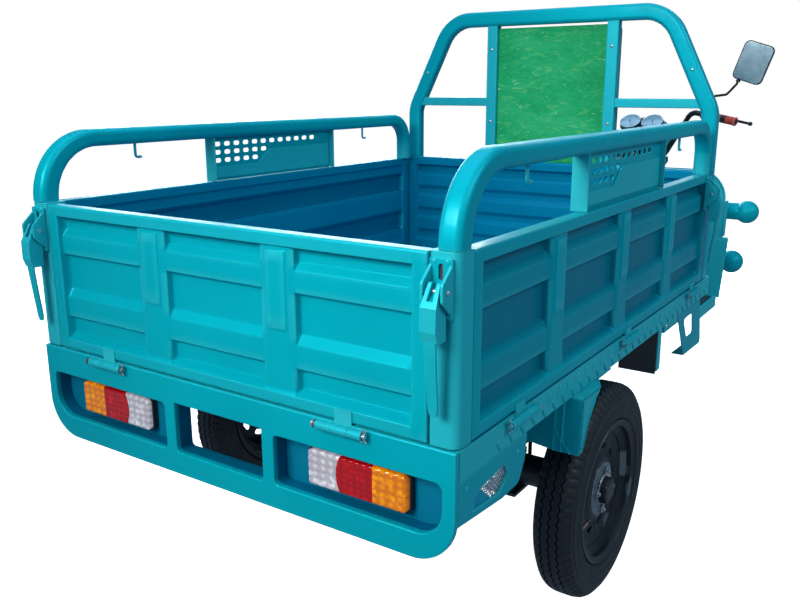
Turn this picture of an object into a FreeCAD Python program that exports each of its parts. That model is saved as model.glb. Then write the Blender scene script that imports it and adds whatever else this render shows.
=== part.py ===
import FreeCAD, Part
import math
import os

# Cargo tricycle. Local X runs forward from the tailgate's outer face, Y to the left, Z up from the ground.
# Everything is moved back by XM at the end, so that the origin is at the bottom centre of the whole vehicle.

# ---- driving dimensions, mm ----
HW = 550.0            # half width of the cargo bed
PT = 32.0             # panel thickness
Z_PB, Z_PT = 622.0, 947.0     # panel bottom and top
Z_RB, Z_RT = 646.0, 923.0     # panel recess bottom and top
POST_L = 48.0         # rear corner post, along X
POST_Y = 495.0        # inner face of the corner posts
TG_HW = 492.0         # tailgate half width
X_SE = 1490.0         # front end of the side panels
X_FW = 1500.0         # rear face of the front wall
X_RB, RB_D = 1530.0, 40.0     # roll bar rear face and depth
RAIL_T, RAIL_B = 1103.0, 1063.0
RAIL_YI = 505.0
Z_FLOOR = 618.0
WX, WZ, WY = 704.0, 259.0, 528.0   # rear wheel centre
TYRE_R, TYRE_W = 259.0, 96.0
STUD_A = 80.0         # first wheel stud, degrees from forward
FX, FZ = 2780.0, 250.0        # front axle
FTYRE_R = 250.0
RAKE = 20.0
OFFS = 29.1           # fork offset
FORK_Y = 85.0
X_MIN = -44.0
X_MAX = FX + FTYRE_R
XM = (X_MIN + X_MAX) / 2.0
RUN = 0.05            # radial running clearance

V = FreeCAD.Vector
os.makedirs("parts", exist_ok=True)


# ---- helpers ----
def box(x0, x1, y0, y1, z0, z1):
    return Part.makeBox(x1 - x0, y1 - y0, z1 - z0, V(x0, y0, z0))


def cyl(p, d, r, h):
    return Part.makeCylinder(r, h, V(*p), V(*d))


def cyl2(a, b, r):
    a, b = V(*a), V(*b)
    d = b - a
    return Part.makeCylinder(r, d.Length, a, d)


def fuse(*s):
    s = [q for q in s if q is not None]
    r = s[0] if len(s) == 1 else s[0].fuse(list(s[1:]))
    try:
        r = r.removeSplitter()
    except Exception:
        pass
    return r


def rtube(x0, x1, y0, y1, z0, z1, ax, w=3.0):
    o = box(x0, x1, y0, y1, z0, z1)
    if ax == 'x':
        i = box(x0 - 1, x1 + 1, y0 + w, y1 - w, z0 + w, z1 - w)
    elif ax == 'y':
        i = box(x0 + w, x1 - w, y0 - 1, y1 + 1, z0 + w, z1 - w)
    else:
        i = box(x0 + w, x1 - w, y0 + w, y1 - w, z0 - 1, z1 + 1)
    return o.cut(i)


def corner(A, P, B, r):
    ua = (A - P).normalize()
    ub = (B - P).normalize()
    ang = ua.getAngle(ub)
    t = r / math.tan(ang / 2)
    bis = (ua + ub).normalize()
    return P + ua * t, P + bis * (r / math.sin(ang / 2) - r), P + ub * t


def rwire(pts, rad, closed=True):
    pts = [V(*p) for p in pts]
    n = len(pts)
    if not isinstance(rad, (list, tuple)):
        rad = [rad] * n
    segs = []
    for i, P in enumerate(pts):
        r = rad[i]
        if r < 1e-6 or (not closed and i in (0, n - 1)):
            segs.append((P, None, P))
        else:
            segs.append(corner(pts[i - 1], P, pts[(i + 1) % n], r))
    edges = []
    for i in range(n):
        a, m, b = segs[i]
        if m is not None:
            edges.append(Part.Arc(a, m, b).toShape())
        if i < n - 1 or closed:
            c = segs[(i + 1) % n][0]
            if (c - b).Length > 1e-4:
                edges.append(Part.LineSegment(b, c).toShape())
    return Part.Wire(edges)


def prism(pts, vec, rad=0.0):
    return Part.Face(rwire(pts, rad)).extrude(V(*vec))


def xz(pts, y):
    return [(p[0], y, p[1]) for p in pts]


def yz(pts, x):
    return [(x, p[0], p[1]) for p in pts]


def pipe(pts, bend, r):
    w = rwire(pts, bend, closed=False)
    p0, p1 = V(*pts[0]), V(*pts[1])
    c = Part.Wire(Part.makeCircle(r, p0, p1 - p0))
    s = w.makePipeShell([c], True, False)
    if s.Volume < 0:
        s.reverse()
    print("pipe r %.1f volume ratio %.4f" % (r, s.Volume / (math.pi * r * r * w.Length)))
    return s


def rev(pts, c, deg=360.0, ax=(0, 1, 0)):
    """pts are (radius, y) pairs turned about the Y axis line through c=(x, z)."""
    f = Part.Face(rwire([(c[0], p[1], c[1] + p[0]) for p in pts], 0.0))
    return f.revolve(V(c[0], 0, c[1]), V(*ax), deg)


def mirror(s):
    return s.mirror(V(0, 0, 0), V(0, 1, 0))


def place(s, U, T, W, o=(0, 0, 0)):
    m = FreeCAD.Matrix(U[0], T[0], W[0], o[0], U[1], T[1], W[1], o[1], U[2], T[2], W[2], o[2], 0, 0, 0, 1)
    s = s.copy()
    s.Placement = FreeCAD.Placement(m)
    return s


def fil(s, r, pick):
    ed = [e for e in s.Edges if pick(e)]
    try:
        q = s.makeFillet(r, ed)
        if q.isValid() and q.Volume > 0:
            return q
    except Exception:
        pass
    print("fillet left out", r, len(ed))
    return s


NODES = {}


def node(name, *solids):
    sol = []
    for s in solids:
        sol += s.Solids
    for q in sol:
        if not q.isValid() or q.Volume <= 0:
            print("BAD", name, q.isValid(), q.Volume)
    sh = sol[0] if len(sol) == 1 else Part.makeCompound(sol)
    sh = sh.copy()
    sh.translate(V(-XM, 0, 0))
    sh.exportStep("parts/%s.step" % name)
    NODES[name] = (len(sol), sum(q.Volume for q in sol))


# ---- pressed panels (length u, depth t from the outer face, height w) ----
BANDS = [((895, 881, 840, 833)), ((760, 743, 697, 690))]


def panel(u0, u1, ua, ub, ribs):
    ring = box(u0, u1, 0, PT, Z_PB, Z_PT).cut(box(ua, ub, -1, PT + 1, Z_RB, Z_RT))
    sheet = box(ua - 1, ub + 1, 21, 24, Z_RB - 1, Z_RT + 1)
    parts = [sheet]
    for c in ribs:
        parts.append(prism([(c - 44, 22, Z_RB - 1), (c - 26, 3, Z_RB - 1), (c + 26, 3, Z_RB - 1), (c + 44, 22, Z_RB - 1)], (0, 0, Z_RT - Z_RB + 2)))
    for a, b, c, d in BANDS:
        parts.append(prism([(ua - 1, 22, a), (ua - 1, 9, b), (ua - 1, 9, c), (ua - 1, 22, d)], (ub - ua + 2, 0, 0)))
    return fuse(ring, *parts)


HINGE_R, HPIN_R = 9.0, 5.0
TG_PIV = (-13.0, 611.0)
TG_HY = 320.0
SD_PIV = (-560.0, 607.0)
SD_HX = (232.0, 823.0, 1379.0)

# tailgate: depth t is +X, length u is -Y
tg = place(panel(-TG_HW, TG_HW, -462.0, 462.0, (-168.0, 168.0)), (0, -1, 0), (1, 0, 0), (0, 0, 1))
lv = []
for s in (-1, 1):
    y0 = s * TG_HY
    lv += [box(-9, -4, y0 - 19, y0 + 19, 611, 668), box(-4.5, 0.5, y0 - 19, y0 + 19, 624, 668),
           cyl((TG_PIV[0], y0 - 19, TG_PIV[1]), (0, 1, 0), HINGE_R, 38)]
tg = fuse(tg, *lv)
for s in (-1, 1):
    tg = tg.cut(cyl((TG_PIV[0], s * TG_HY - 30, TG_PIV[1]), (0, 1, 0), HPIN_R + RUN, 60))
node("tailgate", tg)

# right side: depth t is +Y, length u is +X
sp = place(panel(POST_L, X_SE, 79.0, 1456.0, (401.0, 776.0, 1140.0)), (1, 0, 0), (0, 1, 0), (0, 0, 1), (0, -HW, 0))
post = box(0, POST_L, -HW, -POST_Y, Z_PB, 950.0)
sl = [post, box(-6, 0, -541, -499, 842, 940)]
# ears for the rear latch
RL_P = (-20.0, 890.0)
for a, b in ((-541, -536), (-504, -499)):
    sl.append(prism(xz([(-5, 850), (-34, 876), (-34, 904), (-5, 930)], a), (0, b - a, 0)))
# ears for the front latch
FL_P = (-570.0, 890.0)
sl.append(box(1441, 1487, -556, -HW, 842, 940))
for a, b in ((1441, 1446), (1482, 1487)):
    sl.append(prism(yz([(-555, 850), (-584, 876), (-584, 904), (-555, 930)], a), (b - a, 0, 0)))
for c in SD_HX:
    sl += [box(c - 19, c + 19, -556, -551, 607, 662), box(c - 19, c + 19, -551.5, -549.5, 624, 662),
           cyl((c - 19, SD_PIV[0], SD_PIV[1]), (1, 0, 0), HINGE_R, 38)]
sp = fuse(sp, *sl)
for c in SD_HX:
    sp = sp.cut(cyl((c - 30, SD_PIV[0], SD_PIV[1]), (1, 0, 0), HPIN_R + RUN, 60))
sp = sp.cut(cyl((RL_P[0], -545, RL_P[1]), (0, 1, 0), 4 + RUN, 50))
sp = sp.cut(cyl((1435, FL_P[0], FL_P[1]), (1, 0, 0), 4 + RUN, 60))

# guard rail: bent flat-oval tube, in the X-Z plane
out = [(0, 950), (0, RAIL_T), (X_SE, RAIL_T), (X_SE, Z_PT), (X_SE - 38, Z_PT), (X_SE - 38, RAIL_B), (POST_L, RAIL_B), (POST_L, 950)]
rail = prism(xz(out, -HW), (0, HW - RAIL_YI, 0), [0, 150, 95, 0, 0, 57, 110, 0])
rail = fil(rail, 9.0, lambda e: abs(abs(e.CenterOfMass.y) - HW) < 0.01 or abs(abs(e.CenterOfMass.y) - RAIL_YI) < 0.01)
# perforated plate with oval holes
plate = box(530, 1040, -531, -528, Z_PT, RAIL_B)
slots = []
for zc, n in ((1046, 12), (1024, 6), (1002, 5)):
    for i in range(n):
        xc = 556 + i * 36.5
        slots += [fuse(box(xc - 6, xc + 6, -540, -520, zc - 6, zc + 6), cyl((xc - 6, -540, zc), (0, 1, 0), 6, 20), cyl((xc + 6, -540, zc), (0, 1, 0), 6, 20))]
plate = plate.cut(slots)
frm = [box(526, 530, -546, -509, Z_PT, RAIL_B), box(1040, 1044, -546, -509, Z_PT, RAIL_B)]
plate = fuse(plate, *frm)
hooks = [pipe([(x, -527, RAIL_B), (x, -527, 1030), (x + 16, -527, 1030)], 6, 3.5) for x in (250.0, 1220.0)]
node("side_panel_right", sp, rail, plate, *hooks)
node("side_panel_left", mirror(sp), mirror(rail), mirror(plate), *[mirror(h) for h in hooks])


# ---- latch levers ----
def lever_rear():
    w = prism(xz([(-12, 899), (-27, 899), (-33, 884), (-44, 830), (-36, 812), (-14, 812), (-9, 880)], -533), (0, 26, 0))
    w = w.cut(prism(xz([(-4, 870), (-26, 870), (-37, 830), (-30, 806), (-10, 806)], -529), (0, 18, 0)))
    h = prism(xz([(-34, 830), (-28, 830), (-22, 690), (-22, 684), (-28, 684)], -530), (0, 20, 0))
    p = cyl((RL_P[0], -544, RL_P[1]), (0, 1, 0), 4, 48)
    return fuse(w, h, p)


def lever_front():
    # the same lever turned to stand out of the side face
    r = lever_rear()
    return place(r, (0, 1, 0), (-1, 0, 0), (0, 0, 1), (1464 - 520, FL_P[0] - RL_P[0], 0))


lr = lever_rear()
lf = lever_front()
node("latch_rear_right", lr)
node("latch_rear_left", mirror(lr))
node("latch_front_right", lf)
node("latch_front_left", mirror(lf))

# ---- bed ----
X_BE = 1590.0
cf = [box(57, X_BE, -547, 547, 612, 616), box(1498, X_BE, -547, 547, 614, Z_FLOOR)]
# raised deck sheet that the load stands on
cf.append(box(60, 1494, -514, 514, 614, Z_FLOOR))
for s in (-1, 1):
    a, b = sorted((s * 547, s * HW))
    cf.append(box(57, X_BE, a, b, 560, Z_FLOOR))
    a, b = sorted((s * 520, s * 548))
    cf.append(box(57, X_BE, a, b, 560, 563))
cf.append(box(X_BE - 3, X_BE, -547, 547, 560, 616))
for x in (190, 500, 880, 1240, 1480):
    cf.append(box(x, x + 40, -521, 521, 560, 615).cut(box(x + 3, x + 37, -540, 540, 559, 611)))
cf.append(rtube(-3, 57.5, -HW, HW, 563, 619, 'y'))
for s in (-1, 1):
    for a, b in ((s * TG_HY - 50, s * TG_HY - 20), (s * TG_HY + 20, s * TG_HY + 50)):
        cf += [cyl((TG_PIV[0], a, TG_PIV[1]), (0, 1, 0), HINGE_R, b - a), box(-9, -2.5, a, b, 580, 611)]
    for c in SD_HX:
        for a, b in ((c - 55, c - 20), (c + 20, c + 55)):
            y0, y1 = sorted((s * 556, s * 549.5))
            cf += [cyl((a, s * -SD_PIV[0], SD_PIV[1]), (1, 0, 0), HINGE_R, b - a), box(a, b, y0, y1, 576, 607)]
cf = fuse(*cf)
for s in (-1, 1):
    cf = cf.cut(cyl((TG_PIV[0], s * TG_HY - 60, TG_PIV[1]), (0, 1, 0), HPIN_R + RUN, 120))
    for c in SD_HX:
        cf = cf.cut(cyl((c - 60, s * 560, SD_PIV[1]), (1, 0, 0), HPIN_R + RUN, 120))
node("cargo_floor", cf)

pins = []
for s in (-1, 1):
    y0 = s * TG_HY
    a = cyl((TG_PIV[0], y0 - 56, TG_PIV[1]), (0, 1, 0), HPIN_R, 118)
    h = cyl((TG_PIV[0], y0 - 61, TG_PIV[1]), (0, 1, 0), 8, 5)
    q = cyl((TG_PIV[0], y0 + 57, TG_PIV[1] - 13), (0, 0, 1), 1.6, 26)
    pins.append(fuse(a, h, q))
    for c in SD_HX:
        a = cyl((c - 62, s * 560, SD_PIV[1]), (1, 0, 0), HPIN_R, 118)
        h = cyl((c + 56, s * 560, SD_PIV[1]), (1, 0, 0), 8, 5)
        q = cyl((c - 58, s * 560, SD_PIV[1] - 13), (0, 0, 1), 1.6, 26)
        pins.append(fuse(a, h, q))
node("hinge_pins", *pins)

# front wall of the box
fw = box(X_FW, X_FW + 30, -545, 545, 619, 952).cut(box(X_FW - 1, X_FW + 40, -489, 489, 652, 924))
fws = [box(X_FW + 20, X_FW + 23, -490, 490, 651, 925)]
for a, b, c, d in ((900, 888, 850, 838), (820, 808, 770, 758), (740, 728, 690, 678)):
    fws.append(prism([(X_FW + 21, -490, a), (X_FW + 9, -490, b), (X_FW + 9, -490, c), (X_FW + 21, -490, d)], (0, 980, 0)))
fw = fuse(fw, *fws)
node("front_wall", fw)

# roll bar: bent tube in the Y-Z plane with cross bars and posts
RBW = 48.0
sl_y, sl_z = -120.0 / 241.0, 1.0


def rb_outline(off, zb):
    k = math.hypot(120, 241)
    nx, nz = 241 / k, 120 / k     # outward normal of the sloping run
    y0 = 545 - off
    zt = 1441 - off
    # sloping line through (545,1128) moved inward by off
    px, pz = 545 - off * nx, 1128 - off * nz

    def at_y(y):
        return pz + (y - px) / (-120.0 / 241.0)

    def at_z(z):
        return px + (z - pz) * (-120.0 / 241.0)
    return [(y0, zb), (y0, at_y(y0)), (at_z(zt), zt), (-at_z(zt), zt), (-y0, at_y(y0)), (-y0, zb)]


o = prism(yz(rb_outline(0, Z_FLOOR), X_RB), (RB_D, 0, 0), [0, 130, 144, 144, 130, 0])
i = prism(yz(rb_outline(RBW, Z_FLOOR - 5), X_RB - 5), (RB_D + 10, 0, 0), [0, 82, 96, 96, 82, 0])
rb = o.cut(i)
rb = fil(rb, 9.0, lambda e: abs(e.CenterOfMass.x - X_RB) < 0.01 or abs(e.CenterOfMass.x - X_RB - RB_D) < 0.01)
rbx = [box(X_RB + 6, X_RB + 32, 226, 496, 1132, 1160), box(X_RB + 6, X_RB + 32, -496, -226, 1132, 1160),
       box(X_RB + 4, X_RB + 34, 190, 228, 800, 1394), box(X_RB + 4, X_RB + 34, -228, -190, 800, 1394),
       box(X_RB + 4, X_RB + 34, -498, 498, 770, 800)]
rb = fuse(rb, *rbx)
node("roll_bar", rb)
node("backrest_board", box(X_RB + 16, X_RB + 20, -190, 190, 905, 1386))
bc = box(X_RB + 36, X_RB + 84, -214, 214, 908, 1382)
node("backrest_cushion", fil(bc, 18, lambda e: e.CenterOfMass.x > X_RB + 80))

# ---- rear lamp frame ----
fo = [(-HW, 563), (-HW, 404), (HW, 404), (HW, 563)]
lfm = prism(yz(fo, -3), (45, 0, 0), [0, 88, 88, 0])
cuts = [prism(yz([(-121, 455), (121, 455), (121, 570), (-121, 570)], -10), (60, 0, 0), [8, 8, 0, 0])]
for s in (-1, 1):
    w = [(s * 151, 455), (s * 524, 455), (s * 524, 557), (s * 151, 557)]
    cuts.append(prism(yz(w, -10), (60, 0, 0), [10, 50, 14, 10]))
lfm = lfm.cut(cuts)
# the rim is thin outside the lamp pockets
lfm = lfm.cut(box(11, 50, -HW - 5, HW + 5, 400, 570).cut(box(10, 51, -532, 532, 446, 571)))
# box section: hollow behind
add = []
for s in (-1, 1):
    add.append(prism(yz([(s * 140, 448), (s * 530, 448), (s * 530, 562), (s * 140, 562)], 36), (3, 0, 0), [4, 60, 4, 4]))
    y0, y1 = sorted((s * 547, s * HW))
    sd = prism(xz([(5, 560), (270, 560), (263, 508), (240, 469), (172, 465), (5, 481)], y0), (0, y1 - y0, 0), [0, 0, 24, 20, 0, 0])
    bean = prism(xz([(60, 486), (62, 512), (84, 522), (180, 533), (197, 508), (160, 479)], y0 - 5), (0, 13, 0), [5, 9, 14, 10, 16, 16])
    add.append(sd.cut(bean))
lfm = fuse(lfm, *add)
node("rear_lamp_frame", lfm)
lb, ll, mi = [], [], []
for s in (-1, 1):
    b = [(s * 219, 468), (s * 448, 468), (s * 448, 547), (s * 219, 547)]
    lb.append(prism(yz(b, 24), (12, 0, 0), 14))
    for a, c, ra in ((222, 296, [13, 0, 0, 13]), (296.4, 370, 0), (370.4, 445, [0, 13, 13, 0])):
        ll.append(prism(yz([(s * a, 471), (s * c, 471), (s * c, 544), (s * a, 544)], 12), (12, 0, 0), ra))
    y0, y1 = sorted((s * 541, s * 544))
    mi.append(box(54, 204, y0, y1, 472, 540))
node("tail_lamp_bases", *lb)
node("tail_lamp_lenses", *ll)
node("mesh_inserts", *mi)

# ---- mudguards and brackets ----
mg, br = [], []
for s in (-1, 1):
    y0, y1 = sorted((s * 430, s * 575))
    g = prism(xz([(720, 560), (488, 560), (478, 437), (481, 436.7), (490.8, 557), (720, 557)], y0), (0, y1 - y0, 0))
    l0, l1 = sorted((s * 572, s * 575))
    lip = prism(xz([(488, 560), (478, 437), (505, 440), (540, 500), (600, 552), (640, 560)], l0), (0, l1 - l0, 0))
    mg.append(fuse(g, lip))
    y0, y1 = sorted((s * 440, s * 546))
    mg.append(fuse(box(1100, 1104, y0, y1, 432, 560), box(1104, 1130, *sorted((s * 543, s * 546)), 440, 560)))
    y0, y1 = sorted((s * 547, s * HW))
    b = prism(xz([(1264, 560), (1501, 560), (1546, 411), (1357, 418)], y0), (0, y1 - y0, 0), [0, 0, 10, 10])
    b = b.cut(prism(xz([(1330, 535), (1420, 535), (1440, 470), (1375, 470)], y0 - 1), (0, 6, 0), 6))
    y2, y3 = sorted((s * 515, s * 548))
    b = fuse(b, prism(xz([(1357, 418), (1546, 411), (1545.2, 414), (1358.6, 421)], y2), (0, y3 - y2, 0)))
    br.append(b)
node("rear_mudguards", *mg)
node("side_brackets", *br)

# ---- frame ----
YR = 310.0
fr = []
for s in (-1, 1):
    y0, y1 = sorted((s * (YR - 20), s * (YR + 20)))
    fr.append(rtube(60, 1600, y0, y1, 490, 560, 'x'))
    fr.append(rtube(1560, 1600, y0, y1, 392, 490, 'z'))
    a, b = sorted((s * 160, s * 200))
    fr.append(rtube(1600, 2400, a, b, 352, 392, 'x'))
fr.append(rtube(1560, 1600, -(YR + 20), YR + 20, 352, 392, 'y'))
fr.append(rtube(2400, 2440, -200, 200, 352, 392, 'y'))
for x in (290, 1085, 1500):
    fr.append(rtube(x, x + 40, -(YR - 20), YR - 20, 500, 550, 'y'))
fr.append(rtube(1960, 2000, -160, 160, 352, 392, 'y'))

# leaf springs
SAG, LH = 87.0, 382.0
RM = (400.0 ** 2 + SAG ** 2) / (2 * SAG)
ZM = 333.0
zc = ZM + RM
lsp = []


def leaf(h, r_out, y0, w, t=8.0):
    r_in = r_out - t
    pts = []
    a = math.asin(h / r_out)
    b = math.asin(h / r_in)

    def P(r, q):
        return V(WX + r * math.sin(q), y0, zc - r * math.cos(q))
    e = [Part.Arc(P(r_out, -a), P(r_out, 0), P(r_out, a)).toShape(), Part.LineSegment(P(r_out, a), P(r_in, b)).toShape(),
         Part.Arc(P(r_in, b), P(r_in, 0), P(r_in, -b)).toShape(), Part.LineSegment(P(r_in, -b), P(r_out, -a)).toShape()]
    return Part.Face(Part.Wire(e)).extrude(V(0, w, 0))


r_mid = RM - 4
EZ = zc - math.sqrt(r_mid ** 2 - LH ** 2) + 8
for s in (-1, 1):
    y0 = s * YR - 25
    m = leaf(LH, RM, y0, 50)
    eyes = [cyl((WX + k * LH, y0, EZ), (0, 1, 0), 17, 50) for k in (-1, 1)]
    m = fuse(m, *eyes)
    for k in (-1, 1):
        m = m.cut(cyl((WX + k * LH, y0 - 5, EZ), (0, 1, 0), 8.1, 60))
    lsp.append(m)
    for k, h in enumerate((300.0, 215.0, 130.0)):
        lsp.append(leaf(h, RM + (k + 1) * 8.2, y0, 50))
    # hangers and eye pins on the frame
    for k in (-1, 1):
        xe = WX + k * LH
        for a in (-34, 29):
            fr.append(box(xe - 16, xe + 16, s * YR + a, s * YR + a + 5, EZ - 20, 490).cut(cyl((xe, s * YR - 60, EZ), (0, 1, 0), 8.0, 120)))
        fr.append(cyl((xe, s * YR - 38, EZ), (0, 1, 0), 7.98, 76))
node("leaf_springs", *lsp)
Z_PK = ZM - 3 * 8.2      # underside of the spring pack at the axle

# ---- rear axle ----
ah = cyl((WX, -440, WZ), (0, 1, 0), 38, 880)
ah = fuse(ah, cyl((WX, -75, WZ), (0, 1, 0), 98, 150), cyl((WX, -95, WZ), (0, 1, 0), 70, 190),
          box(WX, 898, 80, 128, 215, 315), cyl((898, 80, 265), (0, 1, 0), 70, 48))
for s in (-1, 1):
    ah = ah.cut(cyl((WX, s * 370, WZ), (0, s, 0), 15 + RUN, 80))
node("axle_housing", ah)
mo = cyl((898, -130, 265), (0, 1, 0), 82, 209.5)
fins = [cyl((898, -110 + 14 * k, 265), (0, 1, 0), 90, 6) for k in range(12)]
node("drive_motor", fuse(mo, cyl((898, -142, 265), (0, 1, 0), 60, 14), *fins))
ub, bp = [], []
for s in (-1, 1):
    sad = box(WX - 39, WX + 39, s * YR - 25, s * YR + 25, 285, Z_PK - 8.0).cut(cyl((WX, s * YR - 40, WZ), (0, 1, 0), 38.0, 80))
    ub.append(sad)
    ub.append(box(WX - 60, WX + 60, s * YR - 42, s * YR + 42, 205, 213))
    for k in (-45, 45):
        ub.append(fuse(cyl((WX + k, s * YR - 31, 213), (0, 0, 1), 5, 137), cyl((WX + k, s * YR + 31, 213), (0, 0, 1), 5, 137),
                       cyl((WX + k, s * YR - 36, 350), (0, 1, 0), 5, 72)))
    y0, y1 = sorted((s * 428, s * 434))
    bp.append(cyl((WX, y0, WZ), (0, 1, 0), 94, 6).cut(cyl((WX, y0 - 1, WZ), (0, 1, 0), 38.0, 8)))
node("axle_u_bolts", *ub)
node("brake_backplates", *bp)


# ---- wheels ----
def tyre(R, c, wy, k):
    """Hollow tyre: R crown radius, c the axle (x, z), wy centre plane, k width factor."""
    e = R - 259.0
    o = [(162.5, -36.5), (175, -39), (180, -46), (215 + e * .5, -48), (240 + e, -44.5), (252 + e, -36), (259 + e, -20), (259 + e, 20), (252 + e, 36), (240 + e, 44.5),
         (215 + e * .5, 48), (180, 46), (175, 39), (162.5, 36.5), (162.5, 24), (190, 36), (215 + e * .5, 38), (235 + e, 33), (246 + e, 17), (246 + e, -17),
         (235 + e, -33), (215 + e * .5, -38), (190, -36), (162.5, -24)]
    return rev([(r, wy + y * k) for r, y in o], c)


def rim(c, wy, k, s=1):
    o = [(173, -44), (173, -41.5), (161, -38.5), (158.5, -28), (141, -17), (141, 17), (158.5, 28), (161, 38.5), (173, 41.5), (173, 44),
         (170, 44), (170, 43.5), (158, 41), (155.5, 30), (138, 19.5), (138, -19.5), (155.5, -30), (158, -41), (170, -43.5), (170, -44)]
    b = rev([(r, wy + y * k) for r, y in o], c)
    d = [(30, 18), (66, 18), (92, 8), (114, 8), (139.5, 13), (139.5, 17), (113, 12), (93, 12), (67, 22), (30, 22)]
    d = rev([(r, wy + s * y) for r, y in d], c)
    hs = []
    for i in range(10):
        for q in (-5.5, 0, 5.5):
            a = math.radians(36 * i + q)
            hs.append(cyl((c[0] + 103 * math.cos(a), wy - 40, c[1] + 103 * math.sin(a)), (0, 1, 0), 8, 80))
    hs2 = []
    for i in range(4):
        a = math.radians(90 * i + STUD_A)
        hs2.append(cyl((c[0] + 48 * math.cos(a), wy - 40, c[1] + 48 * math.sin(a)), (0, 1, 0), 6.2, 80))
    d = d.cut(hs).cut(hs2)
    return fuse(b, d)


def rear_hub():
    h = [cyl((WX, 385, WZ), (0, 1, 0), 15, 165), cyl((WX, 441, WZ), (0, 1, 0), 88, 42).cut(cyl((WX, 440, WZ), (0, 1, 0), 82, 36)),
         cyl((WX, 480, WZ), (0, 1, 0), 42, 62), cyl((WX, 536, WZ), (0, 1, 0), 66, 10), cyl((WX, 540, WZ), (0, 1, 0), 29, 34)]
    for i in range(4):
        a = math.radians(90 * i + STUD_A)
        h.append(cyl((WX + 48 * math.cos(a), 540, WZ + 48 * math.sin(a)), (0, 1, 0), 5, 26))
    nuts = []
    for i in range(4):
        a = math.radians(90 * i + STUD_A)
        cx, cz = WX + 48 * math.cos(a), WZ + 48 * math.sin(a)
        pts = [(cx + 10 * math.cos(math.radians(60 * j)), 550, cz + 10 * math.sin(math.radians(60 * j))) for j in range(6)]
        nuts.append(prism(pts, (0, 11, 0)).cut(cyl((cx, 549, cz), (0, 1, 0), 5.0, 14)))
    return [fuse(*h)] + nuts


t = tyre(TYRE_R, (WX, WZ), WY, 1.0)
r = rim((WX, WZ), WY, 1.0)
hb = rear_hub()
node("rear_tyre_left", t)
node("rear_tyre_right", mirror(t))
node("rear_rim_left", r)
node("rear_rim_right", mirror(r))
node("rear_hub_left", *hb)
node("rear_hub_right", *[mirror(q) for q in hb])

FK = 0.875
node("front_tyre", tyre(FTYRE_R, (FX, FZ), 0.0, FK))
node("front_rim", rim((FX, FZ), 0.0, FK))
fh = [cyl((FX, -44, FZ), (0, 1, 0), 28, 62), cyl((FX, 8, FZ), (0, 1, 0), 66, 10), cyl((FX, -42, FZ), (0, 1, 0), 72, 34), cyl((FX, 15, FZ), (0, 1, 0), 29, 29)]
for i in range(4):
    a = math.radians(90 * i + STUD_A)
    fh.append(cyl((FX + 48 * math.cos(a), 12, FZ + 48 * math.sin(a)), (0, 1, 0), 6, 22))
node("front_hub", fuse(*fh).cut(cyl((FX, -60, FZ), (0, 1, 0), 8 + RUN, 130)))

# ---- steering, in its own frame: f forward, y left, u up along the steering axis ----
cr, sr = math.cos(math.radians(RAKE)), math.sin(math.radians(RAKE))
UF, UU = (cr, 0, sr), (-sr, 0, cr)
OX, OZ = FX - OFFS * cr, FZ - OFFS * sr


def st(s):
    return place(s, UF, (0, 1, 0), UU, (OX, 0, OZ))


def sw(f, y, u):
    return (OX + f * cr - u * sr, y, OZ + f * sr + u * cr)


stem = fuse(cyl((0, 0, 425), (0, 0, 1), 17, 265), box(-34, 55, -112, 112, 425, 452), box(-32, 52, -110, 110, 668, 690),
            box(-10, 26, -58, -32, 688, 724), box(-10, 26, 32, 58, 688, 724))
for s in (-1, 1):
    stem = stem.cut(cyl((OFFS, s * FORK_Y, 400), (0, 0, 1), 16, 320))
stem = stem.cut(cyl((8, -70, 704), (0, 1, 0), 11.1, 140))
node("steering_stem", st(stem))
node("fork_tubes", *[st(cyl((OFFS, s * FORK_Y, 130), (0, 0, 1), 15.99, 559.5)) for s in (-1, 1)])
fs = []
for s in (-1, 1):
    q = fuse(cyl((OFFS, s * FORK_Y, -26), (0, 0, 1), 22, 356), cyl((OFFS, s * FORK_Y, 310), (0, 0, 1), 25, 20))
    q = q.cut(cyl((OFFS, s * FORK_Y, 40), (0, 0, 1), 16.05, 300)).cut(cyl((OFFS, s * FORK_Y - 40, 0), (0, 1, 0), 8.0, 80))
    fs.append(st(q))
node("fork_sliders", *fs)
fa = fuse(cyl((FX, -114, FZ), (0, 1, 0), 7.99, 228), cyl((FX, 45, FZ), (0, 1, 0), 13, 17), cyl((FX, -62, FZ), (0, 1, 0), 13, 17),
          cyl((FX, 109, FZ), (0, 1, 0), 14, 10), cyl((FX, -119, FZ), (0, 1, 0), 14, 10))
node("front_axle", fa)
f = Part.Face(rwire([(FX + 268, -52, FZ), (FX + 271, -52, FZ), (FX + 271, 52, FZ), (FX + 268, 52, FZ)], 0.0))
f.rotate(V(FX, 0, FZ), V(0, 1, 0), -45)
fm = f.revolve(V(FX, 0, FZ), V(0, 1, 0), -115)
if fm.Volume < 0:
    fm.reverse()
fmb = [st(box(15, 43, *sorted((s * 40, s * 62.7)), 268.5, 277)) for s in (-1, 1)]
node("front_mudguard", fuse(fm, *fmb))

# frame front: head tube with a single downtube
A0, A1 = sw(0, 0, 560), (2420.0, 0.0, 392.0)
dt = cyl2(A0, A1, 25)
ht = fuse(st(cyl((0, 0, 455), (0, 0, 1), 32, 200)), dt).cut(st(cyl((0, 0, 450), (0, 0, 1), 24, 210)))
ht = ht.cut(box(2300, 2500, -60, 60, 300, 392))
fr.append(ht)
node("chassis_frame", *fr)
node("steering_bearings", *[st(cyl((0, 0, u0), (0, 0, 1), 23.98, 22).cut(cyl((0, 0, u0 - 1), (0, 0, 1), 17 + RUN, 24))) for u0 in (456, 632)])

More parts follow.
